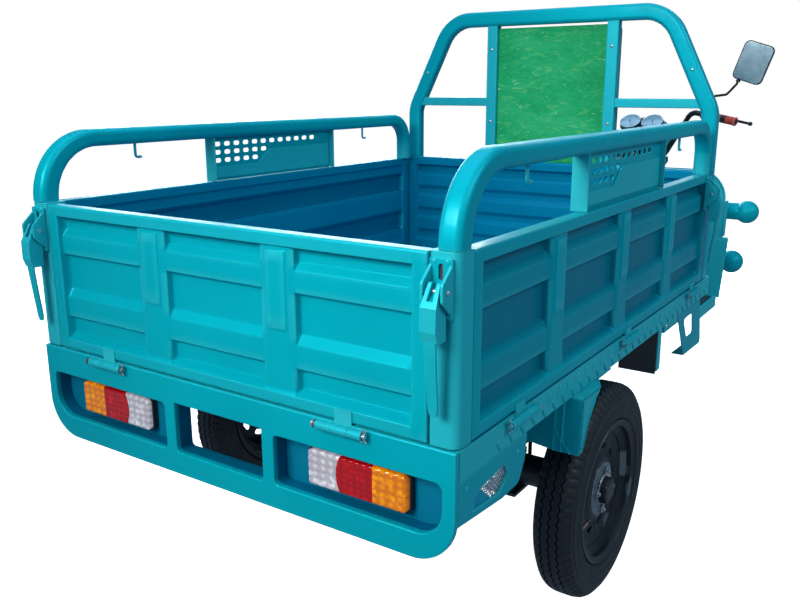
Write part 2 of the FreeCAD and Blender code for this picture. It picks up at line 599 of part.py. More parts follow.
# handlebar
GP3, GP4 = V(2478, -255, 1088), V(2438, -402, 1061)
hc = sw(8, 0, 704)
right = [(hc[0], -100, hc[2]), (2500, -205, 1078), tuple(GP3 + (GP3 - GP4).normalize() * 1.0), tuple(GP4)]
rt = [(hc[0], -100, hc[2]), (2496, -212, 1096), tuple(GP4)]
pl = [(p[0], -p[1], p[2]) for p in rt]
pts = pl[::-1] + rt
hbar = pipe(pts, [0, 38, 55, 55, 38, 0], 11.0)
node("handlebar", hbar)
B0 = V(2496, -212, 1096)
G = (GP4 - B0).normalize()
HX = V(1, 0, 0)
HF = (HX - G * HX.dot(G)).normalize()
VV = HF.cross(G)


def along(t, h=0.0, v=0.0):
    return GP4 - G * t + HF * h + VV * v


def hollow(t0, t1, ro, ri):
    a, b = along(t0), along(t1)
    return Part.makeCylinder(ro, (b - a).Length, a, b - a).cut(Part.makeCylinder(ri, (b - a).Length + 4, a + G * 2, b - a))


grip = fuse(hollow(1, 116, 16, 11 + RUN), hollow(108, 116, 20, 11 + RUN), hollow(1, 7, 18, 11 + RUN))
node("throttle_grip", grip)
node("left_grip", mirror(grip))
LP_T, LP_H = 132.0, 34.0
pod = hollow(117, 150, 19, 11.02)


def obox(t0, t1, h0, h1, v0, v1):
    """Box along the grip line: t back from its end, h forward, v across."""
    b = Part.makeBox(t1 - t0, h1 - h0, v1 - v0, V(t0, h0, -v1))
    return place(b, tuple(-G), tuple(HF), tuple(G.cross(HF) * -1), tuple(GP4))


VX = G.cross(HF)
ear1 = obox(122, 146, 14, 42, 7.5, 11.5)
ear2 = obox(122, 146, 14, 42, -11.5, -7.5)
pod = fuse(pod, ear1, ear2, obox(119, 148, 10, 20, -11.5, 11.5), obox(120, 146, -6, 14, 12, 34))
bore = Part.makeCylinder(4 + RUN, 60, along(LP_T, LP_H) - VX * 30, VX)
pod = pod.cut(bore).cut(Part.makeCylinder(11.02, 60, along(108), -G))
node("control_pods", pod, mirror(pod))
lvp = [Part.makeCylinder(4, 22.6, along(LP_T, LP_H) - VX * 11.3, VX), obox(124, 142, 24, 44, -7, 7),
       obox(-28, 128, 52, 62, -5, 5), prism([(142, 26, -6), (142, 40, -6), (120, 62, -6), (108, 62, -6), (108, 52, -6), (124, 26, -6)], (0, 0, 12))]
lvp[3] = place(lvp[3], tuple(-G), tuple(HF), tuple(VX * -1), tuple(GP4))
lvp.append(Part.makeSphere(8.5, along(-30, 57)))
lev = fuse(*lvp)
node("brake_lever_right", lev)
node("brake_lever_left", mirror(lev))

# mirrors on stalks
MT = math.radians(18)
MU = V(0, -math.sin(MT), math.cos(MT))
MW = V(0, math.cos(MT), math.sin(MT))
MC = V(2452, -443, 1285)
MB = MC - MU * 75 + MW * 28
st0 = along(133, -2, 0) + VX * (-12)
top = along(133, 4) + VX * 34.2
stk = pipe([tuple(top), tuple(top + V(0, -6, 40)), tuple(MB - MU * 45 + V(0, 26, -14)), tuple(MB - MU * 18), tuple(MB + MU * 10)], [0, 25, 12, 8, 0], 5.0)
node("mirror_stalks", stk, mirror(stk))


def mshape():
    b = prism([(-58, 0, -75), (58, 0, -75), (58, 0, 75), (-58, 0, 75)], (0, 20, 0), 22)
    return b


mb = place(mshape(), (0, MW.y, MW.z), (1, 0, 0), (0, -MU.y, -MU.z), (MC.x - 10, MC.y, MC.z))
if mb.Volume < 0:
    mb.reverse()
boss = Part.makeCylinder(9, 24, MB - MU * 9, MU)
mb = fuse(mb, boss).cut(Part.makeCylinder(5 + RUN, 40, MB - MU * 28, MU))
node("mirror_right", mb)
node("mirror_left", mirror(mb))

# gauges, headlight
gn = V(-math.sin(math.radians(36)), 0, math.cos(math.radians(36)))
gc = V(*sw(52, 0, 846))
ins = []
for s in (-1, 1):
    c = gc + V(0, s * 48, 0)
    ins.append(Part.makeCylinder(45, 34, c - gn * 30, gn))
ins.append(st(box(34, 40, -34, 34, 690, 842)))
cb = Part.makeBox(60, 92, 22)
cb = place(cb, tuple(V(0, 1, 0).cross(gn)), (0, 1, 0), tuple(gn), tuple(gc - gn * 28 - V(0, 46, 0) - V(0, 1, 0).cross(gn) * 30))
ins.append(cb)
node("instrument_cluster", fuse(*ins))
hx0, hz = 2578.0, 985.0
hs = [cyl((hx0 + 22, 0, hz), (1, 0, 0), 84, 70).cut(cyl((hx0 + 40, 0, hz), (1, 0, 0), 78, 70))]
cone = Part.makeCone(46, 84, 22, V(hx0, 0, hz), V(1, 0, 0))
hs.append(cone)
for s in (-1, 1):
    a, b = sorted((s * 73, s * 79))
    hs += [box(2512, hx0 + 40, a, b, 962, 1004), st(box(30, 52, a, b, 690, 800))]
node("headlight_shell", fuse(*hs))
node("headlight_lens", cyl((hx0 + 74, 0, hz), (1, 0, 0), 77.8, 14))

# ---- driver's place ----
dk = [box(1992, 2250, -430, 430, 393, 397)]
dk.append(prism(xz([(2250, 393), (2250, 397), (2322, 622), (2326, 620), (2252.5, 393)], -440), (0, 880, 0)))
for s in (-1, 1):
    a, b = sorted((s * 427, s * 430))
    dk.append(box(1992, 2250, a, b, 360, 395))
PV = (2120.0, 425.0)
for a, b in ((-252, -246), (-214, -208)):
    dk.append(prism(xz([(2100, 396), (2140, 396), (2132, 436), (2108, 436)], a), (0, b - a, 0), [0, 0, 8, 8]))
dk = fuse(*dk).cut(cyl((PV[0], -260, PV[1]), (0, 1, 0), 6 + RUN, 60))
node("foot_deck", dk)
pd = [cyl((PV[0], -254, PV[1]), (0, 1, 0), 6, 48), cyl((PV[0], -244, PV[1]), (0, 1, 0), 12, 28),
      prism(xz([(2116, 432), (2126, 420), (2212, 474), (2205, 484)], -236), (0, 12, 0)),
      prism(xz([(2190, 502), (2196, 506), (2226, 458), (2220, 454)], -262), (0, 64, 0))]
node("brake_pedal", fuse(*pd))

ls = box(2330, 2334, -415, 415, 560, 877)
ls = prism(yz([(-400, 560), (-415, 640), (-405, 877), (405, 877), (415, 640), (400, 560)], 2330), (4, 0, 0), [40, 60, 110, 110, 60, 40])
lsf = []
for s in (-1, 1):
    a, b = sorted((s * 411, s * 415))
    lsf.append(prism(xz([(2332, 620), (2372, 620), (2378, 760), (2332, 760)], a), (0, b - a, 0), [0, 8, 8, 0]))
lsf.append(box(2334, 2480, -24, 24, 575, 583))
ls = fuse(ls, *lsf).cut(cyl2(A0, A1, 25.02))
node("leg_shield", ls)

cbr = []
for (bx, bz, yb) in ((2470.0, 706.0, 470.0), (2389.0, 515.0, 445.0)):
    b = fuse(cyl((bx, -yb, bz), (0, 1, 0), 34, 2 * yb), Part.makeSphere(45, V(bx, -yb, bz)), Part.makeSphere(45, V(bx, yb, bz)),
             box(bx, bx + 75, -20, 20, bz - 14, bz + 14))
    cbr.append(b.cut(cyl2(A0, A1, 25.02)))
node("crash_bar", *cbr)

sb = box(1640, 1990, -410, 410, 393, 688).cut(box(1643, 1987, -407, 407, 397, 700))
node("seat_box", sb)
bt = []
for i in range(5):
    y0 = -340 + i * 137
    bt.append(fuse(box(1690, 1930, y0, y0 + 132, 397, 560), cyl((1730, y0 + 40, 560), (0, 0, 1), 7, 16), cyl((1730, y0 + 92, 560), (0, 0, 1), 7, 16)))
node("battery_pack", *bt)
SH = (1994.0, 674.0)
sc = fuse(fil(box(1645, 1988, -412, 412, 690, 775), 16, lambda e: e.CenterOfMass.z > 770),
          box(1986, 1996, -412, 412, 690, 694), box(1990, 1996, -300, 300, 672, 692))
sc = sc.cut(box(1900, 1992, -420, 420, 660, 689))
node("seat_cushion", sc)

# ---- wiring under the bed, held along the left frame rail ----
wh = [pipe([(1556, 258, 476), (1420, 258, 480), (1120, 258, 478), (700, 258, 482), (200, 258, 478), (120, 255, 484), (66, 255, 486), (64, 255, 524), (39.5, 255, 524)],
           [0, 300, 600, 600, 90, 60, 22, 12, 0], 5.0),
      pipe([(39.5, 240, 520), (60, 240, 520), (66, 190, 528), (66, 80, 542), (66, -60, 534), (66, -190, 528), (60, -240, 520), (39.5, -240, 520)],
           [0, 14, 40, 180, 300, 40, 14, 0], 3.5)]
node("wiring_harness", *wh)

tot = 0.0
for k in sorted(NODES):
    tot += NODES[k][1]
print(len(NODES), "nodes, total volume %.1f litres" % (tot / 1e6), "XM", XM)
print("steering axis point", sw(0, 0, 560), "u", UU)
print("spring eye z", EZ, "pack underside", Z_PK)
print("grip line", tuple(GP4), tuple(G), "HF", tuple(HF), "VX", tuple(VX), "lever pivot", tuple(along(LP_T, LP_H)))
print("mirror axis", tuple(MB), tuple(MU))
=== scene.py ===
import math

import bmesh
import bpy
import numpy as np
from mathutils import Matrix, Vector, noise


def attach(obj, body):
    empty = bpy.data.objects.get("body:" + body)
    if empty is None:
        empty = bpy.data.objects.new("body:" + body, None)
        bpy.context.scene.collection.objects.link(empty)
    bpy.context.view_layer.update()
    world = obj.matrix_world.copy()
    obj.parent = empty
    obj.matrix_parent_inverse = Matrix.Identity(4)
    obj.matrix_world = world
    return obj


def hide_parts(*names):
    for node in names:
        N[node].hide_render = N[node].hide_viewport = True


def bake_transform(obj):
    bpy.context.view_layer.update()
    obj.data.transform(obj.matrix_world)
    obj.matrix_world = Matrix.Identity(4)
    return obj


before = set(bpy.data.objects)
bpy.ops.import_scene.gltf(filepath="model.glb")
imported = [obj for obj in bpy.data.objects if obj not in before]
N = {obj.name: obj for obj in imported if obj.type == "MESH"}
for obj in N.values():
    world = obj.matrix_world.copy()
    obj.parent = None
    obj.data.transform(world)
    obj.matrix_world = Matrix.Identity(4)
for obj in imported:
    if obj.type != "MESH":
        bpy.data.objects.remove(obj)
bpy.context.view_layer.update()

scene = bpy.context.scene
XM = 1493.0          # millimetres from the tailgate's outer face to the row frame's origin
rad = math.radians


def row(p):
    return ((p[0] - XM) * 0.001, p[1] * 0.001, p[2] * 0.001)


# ---------------------------------------------------------------- mesh tools
class Shape:
    """Vertices in millimetres, faces and a material number for each face."""

    def __init__(s):
        s.v, s.f, s.m = [], [], []

    def add(s, v, f, mat=0):
        o = len(s.v)
        s.v += [(float(p[0]), float(p[1]), float(p[2])) for p in v]
        s.f += [tuple(i + o for i in q) for q in f]
        s.m += [mat] * len(f)
        return s

    def join(s, t, mat=None):
        o = len(s.v)
        s.v += t.v
        s.f += [tuple(i + o for i in q) for q in t.f]
        s.m += t.m if mat is None else [mat] * len(t.f)
        return s

    def map(s, fn, flip=False):
        t = Shape()
        t.v = [tuple(float(c) for c in fn(p)) for p in s.v]
        t.f = [q[::-1] for q in s.f] if flip else list(s.f)
        t.m = list(s.m)
        return t

    def mirror(s):
        return s.map(lambda p: (p[0], -p[1], p[2]), True)

    def both(s):
        t = Shape()
        t.join(s)
        return t.join(s.mirror())


def box(s, x0, x1, y0, y1, z0, z1, mat=0):
    x0, x1 = sorted((x0, x1))
    y0, y1 = sorted((y0, y1))
    z0, z1 = sorted((z0, z1))
    v = [(x0, y0, z0), (x1, y0, z0), (x1, y1, z0), (x0, y1, z0), (x0, y0, z1), (x1, y0, z1), (x1, y1, z1), (x0, y1, z1)]
    return s.add(v, [(3, 2, 1, 0), (4, 5, 6, 7), (0, 1, 5, 4), (1, 2, 6, 5), (2, 3, 7, 6), (3, 0, 4, 7)], mat)


def put(ax, a, p):
    return (a, p[0], p[1]) if ax == "x" else (p[0], a, p[1]) if ax == "y" else (p[0], p[1], a)


def prism(s, poly, ax, a0, a1, mat=0):
    n = len(poly)
    v = [put(ax, a0, p) for p in poly] + [put(ax, a1, p) for p in poly]
    f = [tuple(range(n))[::-1], tuple(range(n, 2 * n))] + [(i, (i + 1) % n, n + (i + 1) % n, n + i) for i in range(n)]
    return s.add(v, f, mat)


def rounded(pts, r, n=6, closed=True):
    m = len(pts)
    r = list(r) if isinstance(r, (list, tuple)) else [r] * m
    out = []
    for i in range(m):
        P = np.array(pts[i], float)
        if r[i] <= 0 or (not closed and i in (0, m - 1)):
            out.append(tuple(P))
            continue
        A = np.array(pts[i - 1], float) - P
        B = np.array(pts[(i + 1) % m], float) - P
        A /= np.linalg.norm(A)
        B /= np.linalg.norm(B)
        ang = math.acos(max(-1, min(1, float(A @ B))))
        t = r[i] / math.tan(ang / 2)
        bis = (A + B) / np.linalg.norm(A + B)
        C = P + bis * (r[i] / math.sin(ang / 2))
        v0, v1, th = P + A * t - C, P + B * t - C, math.pi - ang
        for k in range(n + 1):
            q = k / n
            out.append(tuple(C + (v0 * math.sin((1 - q) * th) + v1 * math.sin(q * th)) / math.sin(th)))
    return out


def rrect(a0, a1, b0, b1, r, n=5):
    return rounded([(a0, b0), (a1, b0), (a1, b1), (a0, b1)], r, n)


def circle(c, r, n=24, a0=0.0):
    return [(c[0] + r * math.cos(a0 + 2 * math.pi * i / n), c[1] + r * math.sin(a0 + 2 * math.pi * i / n)) for i in range(n)]


def stadium(c, half, r, n=6):
    """Slot along the first axis, centred on c."""
    p = [(c[0] + half + r * math.cos(-math.pi / 2 + math.pi * k / n), c[1] + r * math.sin(-math.pi / 2 + math.pi * k / n)) for k in range(n + 1)]
    return p + [(c[0] - half + r * math.cos(math.pi / 2 + math.pi * k / n), c[1] + r * math.sin(math.pi / 2 + math.pi * k / n)) for k in range(n + 1)]


def skin(s, rings, closed_ring=True, caps=True, closed_path=False, mat=0):
    n = len(rings[0])
    v = [p for g in rings for p in g]
    f = []
    last = len(rings) if closed_path else len(rings) - 1
    for i in range(last):
        j = (i + 1) % len(rings)
        for k in range(n if closed_ring else n - 1):
            l = (k + 1) % n
            f.append((i * n + k, i * n + l, j * n + l, j * n + k))
    if caps and not closed_path:
        f.append(tuple(range(n))[::-1])
        f.append(tuple(range((len(rings) - 1) * n, len(rings) * n)))
    return s.add(v, f, mat)


def frames(pts, up=None):
    P = [Vector(p) for p in pts]
    out = []
    t0 = (P[1] - P[0]).normalized()
    a = Vector(up) if up is not None else Vector((0, 0, 1)) if abs(t0.z) < 0.9 else Vector((1, 0, 0))
    a = (a - t0 * a.dot(t0)).normalized()
    for i, p in enumerate(P):
        t = (P[min(i + 1, len(P) - 1)] - P[max(i - 1, 0)]).normalized()
        a = (a - t * a.dot(t)).normalized()
        out.append((p, a.copy(), t.cross(a)))
    return out


def tube(s, pts, r, seg=14, mat=0, caps=True, up=None):
    rs = r if isinstance(r, (list, tuple)) else [r] * len(pts)
    rings = []
    for (p, a, b), q in zip(frames(pts, up), rs):
        rings.append([p + (a * math.cos(2 * math.pi * k / seg) + b * math.sin(2 * math.pi * k / seg)) * q for k in range(seg)])
    return skin(s, rings, mat=mat, caps=caps)


def ribbon(s, pts, section, mat=0, up=None, scale=None):
    """Any closed section, as (across, over) pairs, carried along a line."""
    rings = []
    for i, (p, a, b) in enumerate(frames(pts, up)):
        k = scale[i] if scale else (1, 1)
        rings.append([p + a * q[1] * k[1] + b * q[0] * k[0] for q in section])
    return skin(s, rings, mat=mat)


def spin(s, prof, o, axis, seg=48, mat=0, closed=False, a0=0.0):
    """prof is (radius, along) pairs turned about the line through o."""
    ax = Vector(axis).normalized()
    e1 = Vector((1, 0, 0)) if abs(ax.x) < 0.9 else Vector((0, 1, 0))
    e1 = (e1 - ax * e1.dot(ax)).normalized()
    e2 = ax.cross(e1)
    o = Vector(o)
    v, rings, f = [], [], []
    for r, a in prof:
        if r < 1e-6:
            rings.append([len(v)])
            v.append(o + ax * a)
        else:
            rings.append(list(range(len(v), len(v) + seg)))
            v += [o + ax * a + (e1 * math.cos(a0 + 2 * math.pi * k / seg) + e2 * math.sin(a0 + 2 * math.pi * k / seg)) * r for k in range(seg)]
    m = len(rings)
    for i in range(m if closed else m - 1):
        A, B = rings[i], rings[(i + 1) % m]
        for k in range(seg):
            l = (k + 1) % seg
            if len(A) == 1 and len(B) == 1:
                break
            if len(A) == 1:
                f.append((A[0], B[l], B[k]))
            elif len(B) == 1:
                f.append((A[k], A[l], B[0]))
            else:
                f.append((A[k], A[l], B[l], B[k]))
    if not closed:
        if len(rings[0]) > 1:
            f.append(tuple(rings[0])[::-1])
        if len(rings[-1]) > 1:
            f.append(tuple(rings[-1]))
    return s.add(v, f, mat)


def ball(s, c, r, mat=0, seg=28, rings=14, axis=(0, 1, 0), squash=1.0):
    prof = [(r * math.sin(math.pi * i / rings), -r * math.cos(math.pi * i / rings) * squash) for i in range(rings + 1)]
    prof[0], prof[-1] = (0, -r * squash), (0, r * squash)
    return spin(s, prof, c, axis, seg, mat)


def temp(s, name="tmp"):
    me = bpy.data.meshes.new(name)
    me.from_pydata(s.v, [], s.f)
    bm = bmesh.new()
    bm.from_mesh(me)
    bmesh.ops.remove_doubles(bm, verts=bm.verts, dist=1e-4)
    bmesh.ops.recalc_face_normals(bm, faces=bm.faces)
    bm.to_mesh(me)
    bm.free()
    ob = bpy.data.objects.new(name, me)
    scene.collection.objects.link(ob)
    return ob


def cut(a, b):
    """Shape a less shape b."""
    oa, ob = temp(a), temp(b)
    m = oa.modifiers.new("cut", "BOOLEAN")
    m.object, m.operation, m.solver = ob, "DIFFERENCE", "EXACT"
    dg = bpy.context.evaluated_depsgraph_get()
    me = bpy.data.meshes.new_from_object(oa.evaluated_get(dg))
    t = Shape()
    t.add([tuple(q.co) for q in me.vertices], [tuple(p.vertices) for p in me.polygons])
    bpy.data.meshes.remove(me)
    for o in (oa, ob):
        d = o.data
        bpy.data.objects.remove(o)
        bpy.data.meshes.remove(d)
    return t


def plate(loops, t, bev=0.0, res=2):
    """Flat plate with holes, from 0 to t along its third axis. The first loop is the outline."""
    cu = bpy.data.curves.new("plate", "CURVE")
    cu.dimensions, cu.fill_mode = "2D", "BOTH"
    cu.extrude = t / 2 - bev
    cu.bevel_depth, cu.bevel_resolution, cu.offset = bev, res, -bev
    for lp in loops:
        sp = cu.splines.new("POLY")
        sp.points.add(len(lp) - 1)
        for q, p in zip(sp.points, lp):
            q.co = (p[0], p[1], 0, 1)
        sp.use_cyclic_u = True
    ob = bpy.data.objects.new("plate", cu)
    scene.collection.objects.link(ob)
    dg = bpy.context.evaluated_depsgraph_get()
    me = bpy.data.meshes.new_from_object(ob.evaluated_get(dg))
    bm = bmesh.new()
    bm.from_mesh(me)
    bmesh.ops.remove_doubles(bm, verts=bm.verts, dist=1e-3)
    s = Shape()
    bm.verts.index_update()
    s.add([(p.co.x, p.co.y, p.co.z + t / 2) for p in bm.verts], [tuple(v.index for v in q.verts) for q in bm.faces])
    bm.free()
    bpy.data.objects.remove(ob)
    bpy.data.curves.remove(cu)
    bpy.data.meshes.remove(me)
    return s


MADE = []


def piece(name, s, body, nodes=(), mats=(), bevel=0.0, seg=2, angle=32, sharp=None, sub=0, wn=True):
    me = bpy.data.meshes.new(name)
    me.from_pydata([row(p) for p in s.v], [], s.f)
    for m in mats:
        me.materials.append(m)
    me.polygons.foreach_set("material_index", s.m)
    bm = bmesh.new()
    bm.from_mesh(me)
    bmesh.ops.recalc_face_normals(bm, faces=bm.faces)
    bm.to_mesh(me)
    bm.free()
    me.polygons.foreach_set("use_smooth", [True] * len(me.polygons))
    if sharp is not None:
        me.set_sharp_from_angle(angle=rad(sharp))
    ob = bpy.data.objects.new(name, me)
    scene.collection.objects.link(ob)
    if bevel:
        m = ob.modifiers.new("edge", "BEVEL")
        m.width, m.segments, m.limit_method, m.angle_limit = bevel * 0.001, seg, "ANGLE", rad(angle)
        m.use_clamp_overlap = True
        m.miter_outer = "MITER_ARC"
    if sub:
        m = ob.modifiers.new("sub", "SUBSURF")
        m.levels = m.render_levels = sub
    if wn:
        m = ob.modifiers.new("wn", "WEIGHTED_NORMAL")
        m.keep_sharp, m.weight = True, 60
    if isinstance(body, tuple):
        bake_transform(ob)
    else:
        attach(ob, body)
    if nodes:
        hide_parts(*nodes)
    MADE.append(ob)
    return ob


def keep(node, mat, bevel=0.8, angle=30, seg=2):
    o = N[node]
    me = o.data
    if "custom_normal" in me.attributes:
        me.attributes.remove(me.attributes["custom_normal"])
    me.materials.clear()
    me.materials.append(mat)
    me.polygons.foreach_set("use_smooth", [True] * len(me.polygons))
    m = o.modifiers.new("weld", "WELD")
    m.merge_threshold = 2e-5
    if bevel:
        m = o.modifiers.new("edge", "BEVEL")
        m.width, m.segments, m.limit_method, m.angle_limit = bevel * 0.001, seg, "ANGLE", rad(angle)
        m.use_clamp_overlap = True
        m = o.modifiers.new("wn", "WEIGHTED_NORMAL")
        m.weight = 60
    else:
        m = o.modifiers.new("split", "EDGE_SPLIT")
        m.split_angle = rad(angle)


# ---------------------------------------------------------------- materials
def lin(r, g, b):
    q = [c / 255.0 for c in (r, g, b)]
    return tuple(c / 12.92 if c <= 0.04045 else ((c + 0.055) / 1.055) ** 2.4 for c in q) + (1.0,)


class Mat:
    def __init__(s, name):
        s.m = bpy.data.materials.new(name)
        s.m.use_nodes = True
        s.nt = s.m.node_tree
        s.b = s.nt.nodes["Principled BSDF"]
        s.co = s.nt.nodes.new("ShaderNodeTexCoord").outputs["Object"]
        s.last = None

    def link(s, a, b):
        s.nt.links.new(a, b)

    def scaled(s, k):
        n = s.nt.nodes.new("ShaderNodeMapping")
        n.inputs["Scale"].default_value = k
        s.link(s.co, n.inputs["Vector"])
        return n.outputs["Vector"]

    def noise(s, scale, detail=4.0, rough=0.55, vec=None, dist=0.0):
        n = s.nt.nodes.new("ShaderNodeTexNoise")
        n.inputs["Scale"].default_value = scale
        n.inputs["Detail"].default_value = detail
        n.inputs["Roughness"].default_value = rough
        n.inputs["Distortion"].default_value = dist
        s.link(vec or s.co, n.inputs["Vector"])
        return n.outputs["Fac"]

    def voro(s, scale, vec=None, feature="F1", out="Distance", rnd=1.0):
        n = s.nt.nodes.new("ShaderNodeTexVoronoi")
        n.feature = feature
        n.inputs["Scale"].default_value = scale
        n.inputs["Randomness"].default_value = rnd
        s.link(vec or s.co, n.inputs["Vector"])
        return n.outputs[out]

    def ramp(s, fac, stops, mode="LINEAR"):
        n = s.nt.nodes.new("ShaderNodeValToRGB")
        e = n.color_ramp.elements
        n.color_ramp.interpolation = mode
        while len(e) < len(stops):
            e.new(0.5)
        for q, (p, c) in zip(e, stops):
            q.position = p
            q.color = c if hasattr(c, "__len__") else (c, c, c, 1)
        s.link(fac, n.inputs["Fac"])
        return n.outputs["Color"]

    def span(s, fac, a, b, c, d):
        n = s.nt.nodes.new("ShaderNodeMapRange")
        for k, q in zip(("From Min", "From Max", "To Min", "To Max"), (a, b, c, d)):
            n.inputs[k].default_value = q
        s.link(fac, n.inputs["Value"])
        return n.outputs["Result"]

    def math(s, op, a, b):
        n = s.nt.nodes.new("ShaderNodeMath")
        n.operation = op
        for i, q in enumerate((a, b)):
            if hasattr(q, "is_linked") or hasattr(q, "links"):
                s.link(q, n.inputs[i])
            else:
                n.inputs[i].default_value = q
        return n.outputs[0]

    def mix(s, fac, a, b, blend="MIX"):
        n = s.nt.nodes.new("ShaderNodeMixRGB")
        n.blend_type = blend
        for i, q in ((0, fac), (1, a), (2, b)):
            if hasattr(q, "links"):
                s.link(q, n.inputs[i])
            else:
                n.inputs[i].default_value = q
        return n.outputs["Color"]

    def geo(s, out):
        n = s.nt.nodes.new("ShaderNodeNewGeometry")
        return n.outputs[out]

    def axis(s, k, src=None):
        n = s.nt.nodes.new("ShaderNodeSeparateXYZ")
        s.link(src or s.co, n.inputs[0])
        return n.outputs[k]

    def bump(s, h, strength, dist):
        n = s.nt.nodes.new("ShaderNodeBump")
        n.inputs["Strength"].default_value = strength
        n.inputs["Distance"].default_value = dist
        s.link(h, n.inputs["Height"])
        if s.last is not None:
            s.link(s.last, n.inputs["Normal"])
        s.last = n.outputs["Normal"]
        s.link(s.last, s.b.inputs["Normal"])

    def col(s, c):
        s.link(c, s.b.inputs["Base Color"])

    def rough(s, c):
        s.link(c, s.b.inputs["Roughness"])

    def set(s, **kw):
        for k, q in kw.items():
            s.b.inputs[k.replace("_", " ")].default_value = q
        return s


def paint_mat(name, base, hi, lo, coat=0.06, metal=0.20, r0=0.36, r1=0.48):
    p = Mat(name)
    c = p.mix(p.span(p.noise(1.7, 3, 0.5), 0.35, 0.65, 0.0, 1.0), lo, base)
    # The 'deep' attribute darkens and blues the paint deep in pressed recesses: painted shade.
    at = p.nt.nodes.new("ShaderNodeAttribute")
    at.attribute_name = "deep"
    c = p.mix(p.span(at.outputs["Fac"], 0.0, 1.0, 0.0, 0.62), c, tuple(q * k for q, k in zip(lo[:3], (0.2, 0.26, 0.42))) + (1,))
    # hi is mixed in on convex edges found by pointiness: painted edge highlight.
    pt = p.geo("Pointiness")
    c = p.mix(p.span(pt, 0.515, 0.60, 0.0, 0.55), c, hi)
    # Darker on concave creases found by pointiness: painted shade.
    c = p.mix(p.span(pt, 0.46, 0.38, 0.0, 0.6), c, tuple(q * 0.35 for q in lo[:3]) + (1,))
    p.col(c)
    p.rough(p.span(p.noise(34, 4), 0.3, 0.7, r0, r1))
    p.bump(p.noise(11, 3), 0.06, 0.005)
    p.bump(p.noise(900, 2), 0.03, 0.0005)
    p.set(Metallic=metal, Coat_Weight=coat, Coat_Roughness=0.12, Specular_IOR_Level=0.03)
    return p.m


TEAL = paint_mat("paint_teal", lin(0, 176, 188), lin(84, 226, 226), lin(0, 164, 180))
# Darker, bluer copies of the teal paint for faces that sit in shade, inside the bed and in the lamp pans: painted
# shade.
TEAL_SHADED = paint_mat("paint_teal_painted_shade", lin(0, 140, 172), lin(20, 170, 196), lin(0, 126, 164), coat=0.06)
TEAL_PAN_SHADED = paint_mat("paint_teal_pan_painted_shade", lin(0, 112, 146), lin(24, 176, 200), lin(0, 98, 136), coat=0.06)


def simple(name, a, b, scale, r0, r1, metal=0.0, coat=0.0, bump=(300, 0.1, 0.0006), edge=None, grime=None):
    p = Mat(name)
    n = p.noise(scale, 5, 0.6)
    c = p.ramp(n, [(0.3, a), (0.7, b)])
    # edge is a lighter colour mixed in on convex edges found by pointiness: painted edge highlight.
    if edge:
        c = p.mix(p.span(p.geo("Pointiness"), 0.51, 0.6, 0.0, 0.7), c, edge)
    if grime:
        c = p.mix(p.span(p.noise(7, 6, 0.65), 0.5, 0.75, 0.0, 0.6), c, grime)
    p.col(c)
    p.rough(p.span(p.noise(scale * 3, 4), 0.3, 0.7, r0, r1))
    p.bump(p.noise(bump[0], 3), bump[1], bump[2])
    p.set(Metallic=metal, Coat_Weight=coat)
    return p.m


BLACK = simple("satin_black", lin(16, 18, 21), lin(34, 37, 41), 18, 0.34, 0.52, bump=(700, 0.12, 0.0005), edge=lin(92, 96, 100), grime=lin(44, 42, 40))
STEEL = simple("zinc_steel", lin(128, 134, 140), lin(206, 210, 214), 60, 0.22, 0.42, metal=0.9, bump=(500, 0.1, 0.0004), edge=lin(235, 238, 240), grime=lin(96, 92, 86))
CHROME = simple("bright_plate", lin(190, 196, 202), lin(226, 230, 234), 30, 0.05, 0.14, metal=1.0, bump=(200, 0.02, 0.0003))
RIM = simple("rim_black", lin(12, 19, 24), lin(28, 37, 43), 22, 0.42, 0.58, metal=0.25, coat=0.05, bump=(420, 0.12, 0.0005), edge=lin(112, 124, 130), grime=lin(38, 42, 44))
HUBFACE = simple("hub_grey", lin(86, 98, 104), lin(128, 140, 146), 30, 0.34, 0.5, metal=0.45, bump=(420, 0.2, 0.0006), edge=lin(196, 206, 210), grime=lin(58, 62, 64))
PLASTIC = simple("moulded_black", lin(14, 16, 18), lin(26, 28, 31), 40, 0.36, 0.5, bump=(1500, 0.25, 0.0003), edge=lin(62, 66, 70))
ALLOY = simple("cast_alloy", lin(120, 124, 128), lin(168, 172, 176), 46, 0.4, 0.58, metal=0.75, bump=(360, 0.35, 0.0008), edge=lin(205, 208, 210), grime=lin(70, 68, 66))
CASE = simple("battery_case", lin(22, 26, 30), lin(40, 46, 52), 25, 0.42, 0.55, bump=(900, 0.2, 0.0004), edge=lin(90, 96, 102))


def rubber_mat():
    p = Mat("tyre_rubber")
    n = p.noise(16, 6, 0.62)
    c = p.ramp(n, [(0.28, lin(8, 14, 18)), (0.62, lin(20, 28, 33)), (0.85, lin(38, 45, 49))])
    # Lighter on convex edges of the tread: painted edge highlight.
    c = p.mix(p.span(p.geo("Pointiness"), 0.51, 0.60, 0.0, 0.35), c, lin(62, 72, 78))
    c = p.mix(p.span(p.noise(4.5, 5, 0.7), 0.55, 0.78, 0.0, 0.3), c, lin(48, 50, 50))
    p.col(c)
    p.rough(p.span(n, 0.3, 0.7, 0.48, 0.72))
    p.bump(p.noise(420, 4, 0.6), 0.3, 0.0008)
    return p.m


RUBBER = rubber_mat()


